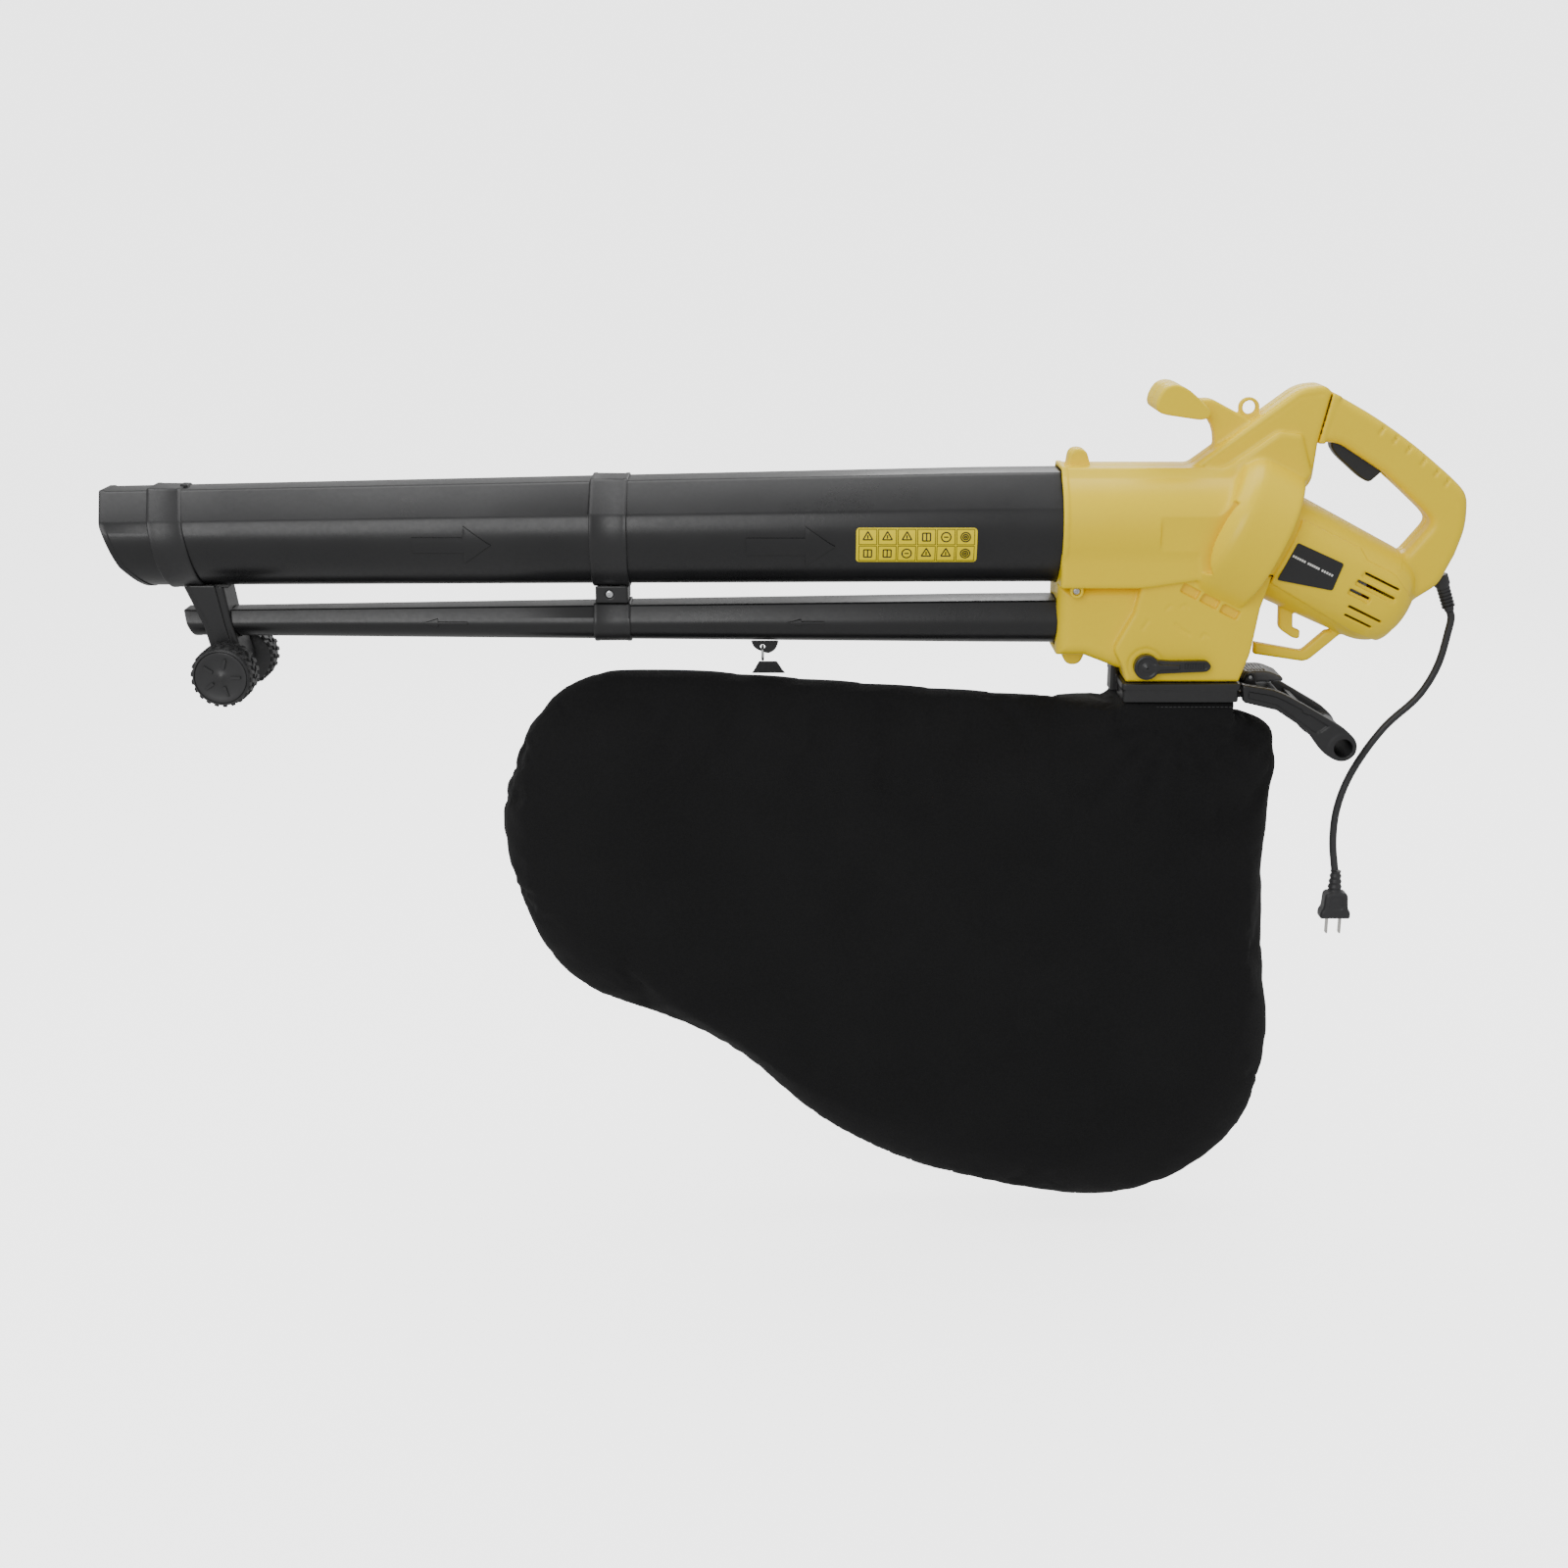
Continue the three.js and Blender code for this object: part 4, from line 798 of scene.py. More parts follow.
def suction_at(x, grow=0.0, count=44):
    """The suction tube's section at x: [y, z] points once round, its ridges softened."""
    out = max(0.0, -320 - x)
    scale, middle = 1 - 0.00017 * out, -50.1 - 0.0129 * out
    radius, ridge = 52 + grow, math.radians(25)
    angles = np.linspace(math.pi - ridge, 2 * math.pi + ridge, count)
    arc = [(radius * math.cos(a), radius * math.sin(a)) for a in angles]
    corners = [(*p, 0) for p in arc[1:-1]]
    corners = [(*arc[0], 2.0), *corners, (*arc[-1], 2.0), (22, radius, 3.0), (-22, radius, 3.0)]
    return rounded(corners, 4) * scale + (0, middle)


def blower_at(x, grow=0.0, count=36):
    """The blower tube's section at x."""
    out = max(0.0, -320 - x)
    scale, middle = 1 - 0.00052 * out, -138.5 - 0.0028 * out
    rx, rz, ridge = 28 + grow, 21.5 + grow, math.radians(19)
    angles = np.linspace(math.pi - ridge, 2 * math.pi + ridge, count)
    arc = [(rx * math.cos(a), rz * math.sin(a)) for a in angles]
    corners = [(*arc[0], 1.5), *[(*p, 0) for p in arc[1:-1]], (*arc[-1], 1.5),
               (20 + grow / 3, rz, 2.0), (-20 - grow / 3, rz, 2.0)]
    return rounded(corners, 4) * scale + (0, middle)


def tube(name, section, left, right, wall_thick, rim):
    """An open tube between two ends; an end is a number or a mouth's [x, z] line. A rim is a
    slightly thicker lip of that height at its left end."""
    def end_x(end, z):
        return np.interp(-z, [-p[1] for p in end], [p[0] for p in end]) if isinstance(end, list) else end

    low_x = left[1][0] if isinstance(left, list) else left
    stops = [(0, 0.3, rim), (0, 0.9, rim), (0, 5.0, rim), (0, 6.0, 0.0)]
    stops += [(share, 0, 0.0) for share in (0.25, 0.5, 0.75)] + [(1, -0.5, 0.0), (1, 0, -0.5)]
    inner = [(1, 0, 0.4 - wall_thick), (1, -3.0, -wall_thick), (0.5, 0, -wall_thick),
             (0, 6.0, -wall_thick), (0, 0.3, 0.4 - wall_thick), (0, 0.0, -wall_thick / 2)]
    rings = []
    for share, shift, grow in [*stops, *inner]:
        near_x = low_x + (right - low_x) * share + shift
        ring = section(near_x, grow)
        rings.append([(end_x(left, z) * (1 - share) + right * share + shift, y, z) for y, z in ring])
    return loft(name, rings, closed=True)


suction_mouth = [(-1176, -14), (-1171, -45), (-1157, -82), (-1138, -108)]
settle(tube("suction_tube_front", suction_at, suction_mouth, -711, 2.2, 0.9), "root", tube_black,
       "tube_plastic", "suction_tube_lower")
settle(tube("suction_tube_back", suction_at, -710.7, -264, 2.2, 0.0), "root", tube_black,
       "tube_plastic", "suction_tube_upper")


def near_face(section, x, z, proud):
    """The point on a tube's near side at x and z, standing that far proud."""
    ring = [p for p in section(x, proud) if p[0] < 0]
    ring.sort(key=lambda p: p[1])
    return (x, float(np.interp(z, [p[1] for p in ring], [p[0] for p in ring])), z)


def raised(name, section, middle, spans, height, across=12):
    """A raised mark on a tube's near side: columns [x, half height] over a middle line of z."""
    rings = []
    for x, half in spans:
        levels = [middle + half * t for t in np.linspace(-1, 1, across)]
        inner = [middle + (half - min(0.7, half / 3)) * t for t in np.linspace(-1, 1, across)]
        top = [near_face(section, x, z, height) for z in inner]
        foot = [near_face(section, x, z, -0.6) for z in levels[::-1]]
        rings.append(top + foot)
    return loft(name, rings)


def arrow(tail, neck, tip, shaft, head):
    """Columns of a flow arrow, from its tail over the neck of its head to its tip."""
    step = 1 if tip > tail else -1
    shaft_part = [(x, shaft) for x in np.linspace(tail, neck, 8)]
    head_part = [(x, head * (tip - x) / (tip - neck) + 0.25) for x in np.linspace(neck + 0.4 * step, tip, 7)]
    return shaft_part + head_part


for name, section, middle, spans in (
        ("flow_arrow_1", suction_at, -61, arrow(-888, -842, -817, 7.6, 18)),
        ("flow_arrow_2", suction_at, -62, arrow(-586, -533, -506, 8.6, 19)),
        ("flow_arrow_3", blower_at, -138.5, arrow(-845, -872, -887, 1.6, 4.4)),
        ("flow_arrow_4", blower_at, -137, arrow(-515, -536, -549, 1.6, 3.6))):
    settle(raised(name, section, middle, spans, 1.7), "root", tube_black, "tube_plastic")


# ---- Blower tube ----
# The slim tube under it, in the same plastic, cut slanted at its mouth.
blower_mouth = [(-1111, -120), (-1106, -140), (-1098, -162)]
settle(tube("blower_tube_front", blower_at, blower_mouth, -711, 2.2, 0.6), "root", tube_black,
       "tube_plastic", "blower_tube_lower")
settle(tube("blower_tube_back", blower_at, -710.7, -264, 2.2, 0.0), "root", tube_black,
       "tube_plastic", "blower_tube_upper")


# ---- Advice sticker ----
# A yellow vinyl sticker on the near side of the suction tube, printed in black with two rows of
# plain framed signs of shapes only.
vinyl = moulded("sticker_vinyl", (0.95, 0.74, 0.0), (0.97, 0.78, 0.0), 0.45, 0.003, 0.00002,
                Specular_IOR_Level=0.3)
sticker_left, sticker_right, sticker_top, sticker_foot = -487, -378, -44, -77
sticker_columns = [(x, (sticker_top - sticker_foot) / 2 - rise) for x, rise in
                   [(sticker_left, 2.5), (sticker_left + 0.8, 0.9), (sticker_left + 2.5, 0),
                    *[(x, 0) for x in np.linspace(-470, -395, 6)],
                    (sticker_right - 2.5, 0), (sticker_right - 0.8, 0.9), (sticker_right, 2.5)]]
sticker = raised("advice_sticker", suction_at, (sticker_top + sticker_foot) / 2, sticker_columns, 0.25, 14)
settle(sticker, "root", vinyl, "label_yellow", "info_label")
ink = Finish("black_ink", Roughness=0.5)
ink.set(Base_Color=ink.tint(ink.blotches(0.002), (0.004, 0.004, 0.004), (0.008, 0.008, 0.008)))


def stroke(points, faces, a, b, width):
    """A flat printed line from a to b, laid on the sticker."""
    length = math.hypot(b[0] - a[0], b[1] - a[1])
    nx, nz = -(b[1] - a[1]) / length * width / 2, (b[0] - a[0]) / length * width / 2
    steps = max(1, int(length / 2))
    base = len(points)
    for i in range(steps + 1):
        x, z = a[0] + (b[0] - a[0]) * i / steps, a[1] + (b[1] - a[1]) * i / steps
        for proud, side in ((0.42, 1), (0.42, -1), (0.28, -1), (0.28, 1)):
            points.append(near_face(suction_at, x + nx * side, z + nz * side, proud))
    for i in range(steps):
        for k in range(4):
            p, q = base + 4 * i + k, base + 4 * i + (k + 1) % 4
            faces.append((p, q, q + 4, p + 4))
    faces += [tuple(base + k for k in (3, 2, 1, 0)), tuple(base + 4 * steps + k for k in range(4))]


def sign(kind, x, z, size):
    """Strokes of one framed sign round its middle."""
    def ring_of(sides, radius, turn=0.0):
        spots = [(x + radius * math.sin(turn + 2 * math.pi * i / sides),
                  z + radius * math.cos(turn + 2 * math.pi * i / sides)) for i in range(sides)]
        return list(zip(spots, spots[1:] + spots[:1]))

    kinds = {
        "triangle": ring_of(3, size) + [((x, z + size * 0.35), (x, z - size * 0.3))],
        "ring": ring_of(16, size * 0.85) + [((x - size * 0.4, z), (x + size * 0.4, z))],
        "square": ring_of(4, size, math.pi / 4) + [((x, z - size * 0.6), (x, z + size * 0.6))],
        "disc": ring_of(16, size * 0.85) + ring_of(12, size * 0.5) + ring_of(8, size * 0.2),
    }
    return kinds[kind]


ink_points, ink_faces = [], []
sign_rows = [["triangle", "triangle", "triangle", "square", "ring", "disc"],
             ["square", "square", "ring", "triangle", "triangle", "disc"]]
for line, kinds in enumerate(sign_rows):
    for column, kind in enumerate(kinds):
        x = sticker_left + 10.5 + column * 17.6
        z = sticker_top - 8.8 - line * 15.4
        for a, b in sign(kind, x, z, 5.0):
            stroke(ink_points, ink_faces, a, b, 1.1)
        frame_corners = [(x - 8, z - 7), (x + 8, z - 7), (x + 8, z + 7), (x - 8, z + 7)]
        for a, b in zip(frame_corners, frame_corners[1:] + frame_corners[:1]):
            stroke(ink_points, ink_faces, a, b, 0.55)
signs = mesh_object("sticker_signs", ink_points, ink_faces, smooth=False)
settle(signs, "root", ink.material, "label_yellow")


# ---- Collars ----
# Black ABS rings that join the tube lengths; a strut between them is held by one screw.
collar_black = moulded("collar_abs", (0.013, 0.013, 0.014), (0.020, 0.020, 0.021), 0.36, 0.0018, 0.00005)


def band(name, section, left, right, thick, bead=0.0):
    """A ring round a tube; each edge is a number or an [x, z] line, and a bead stands at its rims."""
    def edge_x(edge, z):
        return np.interp(-z, [-p[1] for p in edge], [p[0] for p in edge]) if isinstance(edge, list) else edge

    middle_x = left if not isinstance(left, list) else left[0][0]
    profile = [(0, 0, 0.35), (0, 0, thick + bead - 0.7), (0, 0.7, thick + bead), (0, 3.4, thick + bead),
               (0, 4.2, thick), (1, -4.2, thick), (1, -3.4, thick + bead), (1, -0.7, thick + bead),
               (1, 0, thick + bead - 0.7), (1, 0, 0.35)]
    rings = []
    for share, shift, grow in profile:
        ring = section(middle_x + shift, grow)
        rings.append([(edge_x(left, z) * (1 - share) + edge_x(right, z) * share + shift, y, z)
                      for y, z in ring])
    return loft(name, rings, closed=True)


def join_pieces(name, *pieces):
    """Several meshes made one."""
    gathered = [([v.co * 1000 for v in p.data.vertices], [tuple(f.vertices) for f in p.data.polygons])
                for p in pieces]
    points, faces = [], []
    for spots, polygons in gathered:
        faces += [tuple(i + len(points) for i in polygon) for polygon in polygons]
        points += [tuple(s) for s in spots]
    for piece in pieces:
        bpy.data.objects.remove(piece)
    made = mesh_object(name, points, faces)
    made.data.set_sharp_from_angle(angle=math.radians(38))
    return made


collar_left, collar_right = -728, -694
strut_block = Block((-732, -25, -124), (-690, 25, -97), 0.9)
suction_room = np.hypot(strut_block.y, strut_block.z + 55.1) - 52.2
blower_room = (np.hypot(strut_block.y / 22.6, (strut_block.z + 139.6) / 17.2) - 1) * 17.2
strut_field = strut_block.slab([(-726, -120), (-726, -100, 3), (-714, -97), (-708, -97), (-696, -100, 3),
                                (-696, -120)], 19.5, 2)
strut_field = np.maximum(np.maximum(strut_field, -suction_room), -blower_room)
strut_field = np.maximum(strut_field, -np.maximum(strut_block.rod(-713, -111.5, 3.8), strut_block.y + 17.2))
strut = strut_block.skin("strut", strut_field)
settle(band("suction_collar_ring", suction_at, collar_left, collar_right, 2.4, 0.5), "root", collar_black,
       "black_plastic", "suction_collar")
settle(join_pieces("blower_collar_ring", band("ring", blower_at, collar_left, collar_right, 2.4, 0.5), strut),
       "root", collar_black, "black_plastic", "blower_collar")
collar_head = grown("collar_screw_head", spots, Item=screw_item, Spot=Vector((-0.713, -0.0178, -0.1115)),
                    Turn=(0.0, 0.9, 0.0), Finish=zinc)
settle(collar_head, "root", zinc, "steel", "collar_screw")


# ---- Wheel bracket ----
# A slanted black ABS band round the suction tube, with a leg that straddles the blower tube and
# ends in the boss for the wheels' steel axle.
axle_x, axle_z = -1067, -181.5
leg_block = Block((-1118, -25, -196), (-1048, 25, -92), 0.9)
leg_outline = [(-1109, -96), (-1070, -96), (-1063, -140, 8), (-1054, -172, 6), (-1054, -190, 9),
               (-1078, -193, 10), (-1081, -178, 4), (-1090, -140, 8)]
leg = leg_block.slab(leg_outline, 20.5, 3)
leg_rib = leg_block.slab([(-1103, -97), (-1077, -97), (-1069, -140, 6), (-1062, -168), (-1074, -171),
                          (-1084, -140, 6)], 2.2, 1, -20.6)
leg_room = np.hypot(leg_block.y, leg_block.z + 59.7) - 48.6
out = np.maximum(0, -320 - leg_block.x)
blower_scale = 1 - 0.00052 * out
oval = (np.hypot(leg_block.y / (28.9 * blower_scale), (leg_block.z + 140.6) / (22.2 * blower_scale)) - 1) * 13
leg_field = np.maximum(fillet(leg, leg_rib, 1.0), np.maximum(-leg_room, -oval))
leg_field = np.maximum(leg_field, -np.maximum(np.abs(leg_block.y) - 15.5,
                                              np.maximum(np.abs(leg_block.x + 1110) - 43,
                                                         np.abs(leg_block.z + 160) - 12)))
leg_field = np.maximum(leg_field, -leg_block.rod(axle_x, axle_z, 4.4))
nose_band = band("nose_band", suction_at, [(-1134, 0), (-1115, -120)], [(-1103, 0), (-1083, -120)], 2.3, 0.4)
tab_block = Block((-1112, -8, -28), (-1092, 8, -5), 0.7)
tab_field = tab_block.slab([(-1106, -22), (-1105, -11.5, 2), (-1098.5, -11.5, 2), (-1097, -22)], 5, 1)
bracket = join_pieces("wheel_bracket_leg", leg_block.skin("leg", leg_field), nose_band,
                      tab_block.skin("tab", tab_field))
settle(bracket, "root", collar_black, "black_plastic", "wheel_bracket")
recoat(zinc, "steel", "wheel_axle")


# ---- Transport wheels ----
# Two hard black wheels on the axle: a drum with three rows of chunky slanted tread blocks, and a
# push-in cap with five short ribs round a centre pip on the outer face.
wheel_black = moulded("wheel_plastic", (0.017, 0.017, 0.018), (0.028, 0.028, 0.029), 0.45, 0.0014, 0.00009)
cap_black = moulded("wheel_cap_plastic", (0.020, 0.020, 0.021), (0.028, 0.028, 0.029), 0.34, 0.0014, 0.00004)


def ring_tree():
    """Copies of one item round an axis along Y, each turned with the ring."""
    tree = node_tree("ring", {"Item": "Object", "Middle": "Vector", "Radius": "Float", "Count": "Int",
                              "Phase": "Float", "Finish": "Material"})
    source = tree.nodes.new("NodeGroupInput").outputs
    line = chain(tree, "GeometryNodePoints", {}, {"Count": source["Count"]})
    number = chain(tree, "GeometryNodeInputIndex")
    share = chain(tree, "ShaderNodeMath", {"operation": "DIVIDE"}, {0: number, 1: source["Count"]})
    turned_by = chain(tree, "ShaderNodeMath", {"operation": "MULTIPLY_ADD"},
                      {0: share, 1: 2 * math.pi, 2: source["Phase"]})
    turn = chain(tree, "ShaderNodeCombineXYZ", {}, {"Y": turned_by})
    arm = chain(tree, "ShaderNodeCombineXYZ", {}, {"Z": source["Radius"]})
    reach = chain(tree, "ShaderNodeVectorRotate", {"rotation_type": "EULER_XYZ"},
                  {"Vector": arm, "Rotation": turn})
    spot = chain(tree, "ShaderNodeVectorMath", {"operation": "ADD"}, {0: reach, 1: source["Middle"]})
    placed = chain(tree, "GeometryNodeSetPosition", {}, {"Geometry": line, "Position": spot})
    item = chain(tree, "GeometryNodeObjectInfo", {}, {"Object": source["Item"]}, "Geometry")
    copies = chain(tree, "GeometryNodeInstanceOnPoints", {},
                   {"Points": placed, "Instance": item, "Rotation": turn})
    return finish_tree(tree, copies, source)


def turned_y(name, profile, x, z, count=64):
    """A closed body turned about an axis along Y, from its [y, radius] profile."""
    rings = []
    for a in np.linspace(0, 2 * math.pi, count, endpoint=False):
        rings.append([(x + r * math.cos(a), y, z + r * math.sin(a)) for y, r in profile])
    made = loft(name, rings, closed=True)
    weld = bmesh.new()
    weld.from_mesh(made.data)
    bmesh.ops.remove_doubles(weld, verts=weld.verts, dist=1e-6)
    weld.to_mesh(made.data)
    weld.free()
    return made


ring = ring_tree()
block_item = {lean: item_of(loft("tread_block", [
    [(-2.0 + lean * t - h, t * 4.2 * s, h2) for t, s in ((-1, 1), (1, 1))]
    + [(2.0 + lean * t + h, t * 4.2 * s, h2) for t, s in ((1, 1), (-1, 1))]
    for h, h2 in ((0.3, -1.2), (0.0, 0.6), (-0.5, 1.1))])) for lean in (-1.3, 1.3)}
hub_rib_item = item_of(loft("hub_rib", [[(1.4, y, 0.2), (-1.4, y, 0.2), (-1.1, y, 9.5), (1.1, y, 9.5)]
                                        for y in (-1.3, 1.3)]))
for side, word in ((-1, "near"), (1, "far")):
    body = word + "_wheel"
    inner_y, outer_y = side * 27, side * 58
    drum_profile = [(inner_y, 4.15), (inner_y, 23.5), (inner_y + side * 1.5, 25.6),
                    (inner_y + side * 9, 27.0),
                    (outer_y - side * 9, 27.0), (outer_y - side * 3, 26.6), (outer_y - side * 0.6, 25.4),
                    (outer_y, 24.6), (outer_y - side * 0.2, 24.2), (outer_y - side * 3.0, 24.2),
                    (outer_y - side * 3.0, 4.15)]
    drum_piece = turned_y("wheel_drum_" + word, drum_profile, axle_x, axle_z)
    settle(drum_piece, body, wheel_black, "wheel_plastic", "wheel_" + word)
    for index, (offset, lean) in enumerate(((5.8, 1.3), (14.4, -1.3), (23.0, 1.3))):
        treads = grown("tread_%s_%d" % (word, index + 1), ring, Item=block_item[lean], Count=22,
                       Middle=Vector((axle_x, inner_y + side * offset, axle_z)) * 0.001, Radius=0.0273,
                       Phase=0.14 * (index % 2), Finish=wheel_black)
        settle(treads, body, wheel_black, "wheel_plastic")
    cap_profile = [(outer_y - side * 2.6, 0.0001), (outer_y - side * 2.6, 23.9), (outer_y - side * 0.5, 23.9),
                   (outer_y + side * 0.3, 23.2), (outer_y + side * 0.5, 21.5), (outer_y - side * 0.3, 19.5),
                   (outer_y - side * 0.5, 10), (outer_y - side * 0.3, 4.0), (outer_y + side * 0.3, 3.2),
                   (outer_y + side * 0.7, 1.8), (outer_y + side * 0.8, 0.0001)]
    cap = turned_y("wheel_cap_" + word, cap_profile, axle_x, axle_z)
    settle(cap, body, cap_black, "wheel_plastic", "hub_cap_" + word)
    hub_ribs = grown("wheel_ribs_" + word, ring, Item=hub_rib_item, Count=5, Radius=0.0085, Phase=0.3,
                     Middle=Vector((axle_x, outer_y - side * 0.2, axle_z)) * 0.001, Finish=cap_black)
    settle(hub_ribs, body, cap_black, "wheel_plastic")


# ---- Fan and motor ----
# Inside the housings, on one tilted shaft: a ribbed nylon impeller held by a nut, the wound motor
# with its laminated stator, copper commutator and carbon brushes, two bearings and a cooling fan.
def ringed(name, colour, paler, roughness, pitch, metallic):
    """Stacked sheet or turned metal: fine rings square to the fan axis."""
    made = Finish(name, Metallic=metallic)
    place = made.node("ShaderNodeVectorMath", {"operation": "DOT_PRODUCT"},
                      (made.place(), (math.cos(tilt), 0.0, -math.sin(tilt))), output=1)
    lines = made.wave(place * (2 * math.pi / pitch))
    made.set(Base_Color=made.tint(lines * 0.5 + 0.5, colour, paler),
             Roughness=roughness + 0.1 * made.blotches(0.008),
             Normal=made.bump(lines, 0.00006))
    return made.material


laminated = ringed("laminated_iron", (0.16, 0.16, 0.17), (0.25, 0.25, 0.26), 0.42, 0.0014, 0.9)
copper = ringed("commutator_copper", (0.62, 0.27, 0.13), (0.75, 0.36, 0.19), 0.28, 0.0022, 1.0)
nylon = moulded("impeller_nylon", (0.022, 0.022, 0.024), (0.036, 0.036, 0.038), 0.40, 0.0020, 0.00008)
carbon = moulded("brush_carbon", (0.030, 0.030, 0.032), (0.050, 0.050, 0.052), 0.60, 0.0008, 0.00010)
recoat(nylon, "impeller_plastic", "impeller", "cooling_fan")
recoat(laminated, "motor_iron", "stator", "armature")
recoat(copper, "copper", "commutator")
recoat(carbon, "black_plastic", "brush_near", "brush_far")
recoat(zinc, "steel", "motor_shaft", "impeller_nut", "front_bearing", "rear_bearing")


# ---- Trigger and switch ----
# A black ABS lever on a steel pin in the grip, pushed out by a spring, which presses the button of
# the switch block behind it.
control_black = moulded("control_abs", (0.014, 0.014, 0.015), (0.022, 0.022, 0.023), 0.32, 0.0015, 0.00004)
trigger_block = Block((-58, -11, -14), (0, 11, 46), 0.7)
trigger_field = trigger_block.slab([(-54, 39, 4), (-40, 42, 4), (-13, 22), (-4, 8), (-6, 0, 3),
                                    (-17, -10.5, 4), (-25, -6.5, 6), (-49, 14, 6), (-54.5, 22, 3)], 8.4, 2.8)
trigger_field = np.maximum(trigger_field, -np.maximum(
    trigger_block.drawn([(-50, 34), (-40, 37), (-16, 19), (-10, 8), (-46, 24)]),
    np.abs(trigger_block.y) - 6.6))
trigger_web = trigger_block.slab([(-53, 38, 4), (-40, 41, 4), (-14, 21), (-6, 8), (-47, 20)], 1.2, 0.3)
trigger_field = np.minimum(trigger_field, trigger_web)
trigger_boss = np.maximum(trigger_block.rod(trigger_pin_x, trigger_pin_z, 4.2), np.abs(trigger_block.y) - 8.4)
trigger_field = np.maximum(np.minimum(trigger_field, trigger_boss),
                           -trigger_block.rod(trigger_pin_x, trigger_pin_z, 2.15))
trigger = trigger_block.skin("trigger_lever_piece", trigger_field)
settle(trigger, "trigger_lever", control_black, "black_plastic", "trigger")
recoat(control_black, "black_plastic", "switch_module")
recoat(zinc, "steel", "trigger_pin")


def coil_spring(name, x, foot, top, radius, turns, wire):
    """A compression spring of round wire, standing along Z."""
    rings = []
    for share in np.linspace(0, 1, turns * 20 + 1):
        turn = 2 * math.pi * turns * share
        out = Vector((math.cos(turn), math.sin(turn), 0))
        middle = Vector((x, 0, foot + wire + (top - foot - 2 * wire) * share)) + out * (radius - wire)
        rings.append([middle + wire * (math.cos(b) * out + math.sin(b) * Vector((0, 0, 1)))
                      for b in np.linspace(0, 2 * math.pi, 8, endpoint=False)])
    return loft(name, rings)


trigger_coil = coil_spring("trigger_coil", -30, 38.4, 46.4, 3.2, 5, 0.35)
settle(trigger_coil, "root", zinc, "steel", "trigger_spring")
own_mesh(trigger_coil)


# ---- Air selector ----
# A black ABS knob with a long ribbed lever on a steel shaft through the outlet body; inside, the
# shaft carries the flap that sends the air to the blower tube or to the bag.
knob_x, knob_z = -220, -172.8
knob_block = Block((knob_x - 14, -57, knob_z - 14), (knob_x + 64, -43.4, knob_z + 14), 0.55)
knob_hub = plate(knob_block.rod(knob_x, knob_z, 11.5), np.abs(knob_block.y + 49.9) - 5.4, 1.6)
knob_dish = np.maximum(knob_block.rod(knob_x, knob_z, 8.4), knob_block.y + 54.6)
knob_lever = knob_block.slab([(knob_x, knob_z + 7), (knob_x + 22, knob_z + 5.4),
                              (knob_x + 56, knob_z + 5.8, 3),
                              (knob_x + 60, knob_z, 3), (knob_x + 56, knob_z - 4.5, 3), (knob_x, knob_z - 7)],
                             3.6, 1.4, -48.8)
knob_spine = knob_block.slab([(knob_x, knob_z + 3), (knob_x + 30, knob_z + 2.2), (knob_x + 30, knob_z - 1.8),
                              (knob_x, knob_z - 3)], 2.4, 1.0, -52.6)
knob_pad = knob_block.slab([(knob_x + 33, knob_z + 3.6), (knob_x + 54, knob_z + 3.8, 2),
                            (knob_x + 56, knob_z, 2), (knob_x + 54, knob_z - 2.6, 2),
                            (knob_x + 33, knob_z - 2.6)],
                           1.0, 0.5, -53.0)
knob_field = fillet(np.maximum(knob_hub, -knob_dish), knob_lever, 2.0)
knob_field = np.minimum(fillet(knob_field, knob_spine, 1.5), knob_block.rod(knob_x, knob_z, 4.6) + np.maximum(
    0, np.abs(knob_block.y + 51.0) - 4.0) * 2)
knob_field = np.maximum(knob_field, -knob_pad)
knob_square = np.maximum(np.maximum(np.abs(knob_block.x - knob_x), np.abs(knob_block.z - knob_z)) - 2.6,
                         -50.6 - knob_block.y)
knob = knob_block.skin("selector_lever", np.maximum(knob_field, -knob_square))
settle(knob, "selector", control_black, "black_plastic", "selector_knob")
lever_rib = item_of(loft("lever_rib", [[(-0.5, y, -3.0), (0.5, y, -3.0), (0.5, y, 3.0), (-0.5, y, 3.0)]
                                       for y in (-0.6, 0.8)]))
lever_ribs = grown("selector_lever_ribs", row, Item=lever_rib,
                   Start=Vector((knob_x + 36, -52.2, knob_z + 0.4)) * 0.001,
                   End=Vector((knob_x + 53, -52.2, knob_z + 0.4)) * 0.001, Count=8, Turn=(0.0, 0.0, 0.0),
                   Finish=control_black)
settle(lever_ribs, "selector", control_black, "black_plastic")
recoat(nylon, "black_plastic", "diverter_flap")
recoat(zinc, "steel", "selector_shaft")


# ---- Bag frame ----
# A black ABS collar that clips under the outlet: a rim, a lower skirt that the bag's hem is sewn
# round, a tongue towards the bag's grip and two ears that carry the latch.
frame_block = Block((-252, -50, -219), (-88, 50, -166), 1.0)
rim_flat = frame_block.drawn([(-241, -189.4), (-131, -189.4), (-131, -207.6), (-241, -207.6)])


def hollow_box(block, left, right, half, foot, top, thick, edge):
    """A rectangular collar of that wall, its outer corners rounded."""
    across = np.maximum(np.abs(block.x - (left + right) / 2) - (right - left) / 2 + edge, 0)
    deep = np.maximum(np.abs(block.y) - half + edge, 0)
    outside = np.hypot(across, deep) - edge + np.minimum(np.maximum(
        np.abs(block.x - (left + right) / 2) - (right - left) / 2 + edge, np.abs(block.y) - half + edge), 0)
    height = np.abs(block.z - (foot + top) / 2) - (top - foot) / 2
    shell = plate(outside, height, 1.2)
    return np.maximum(shell, -(outside + thick))


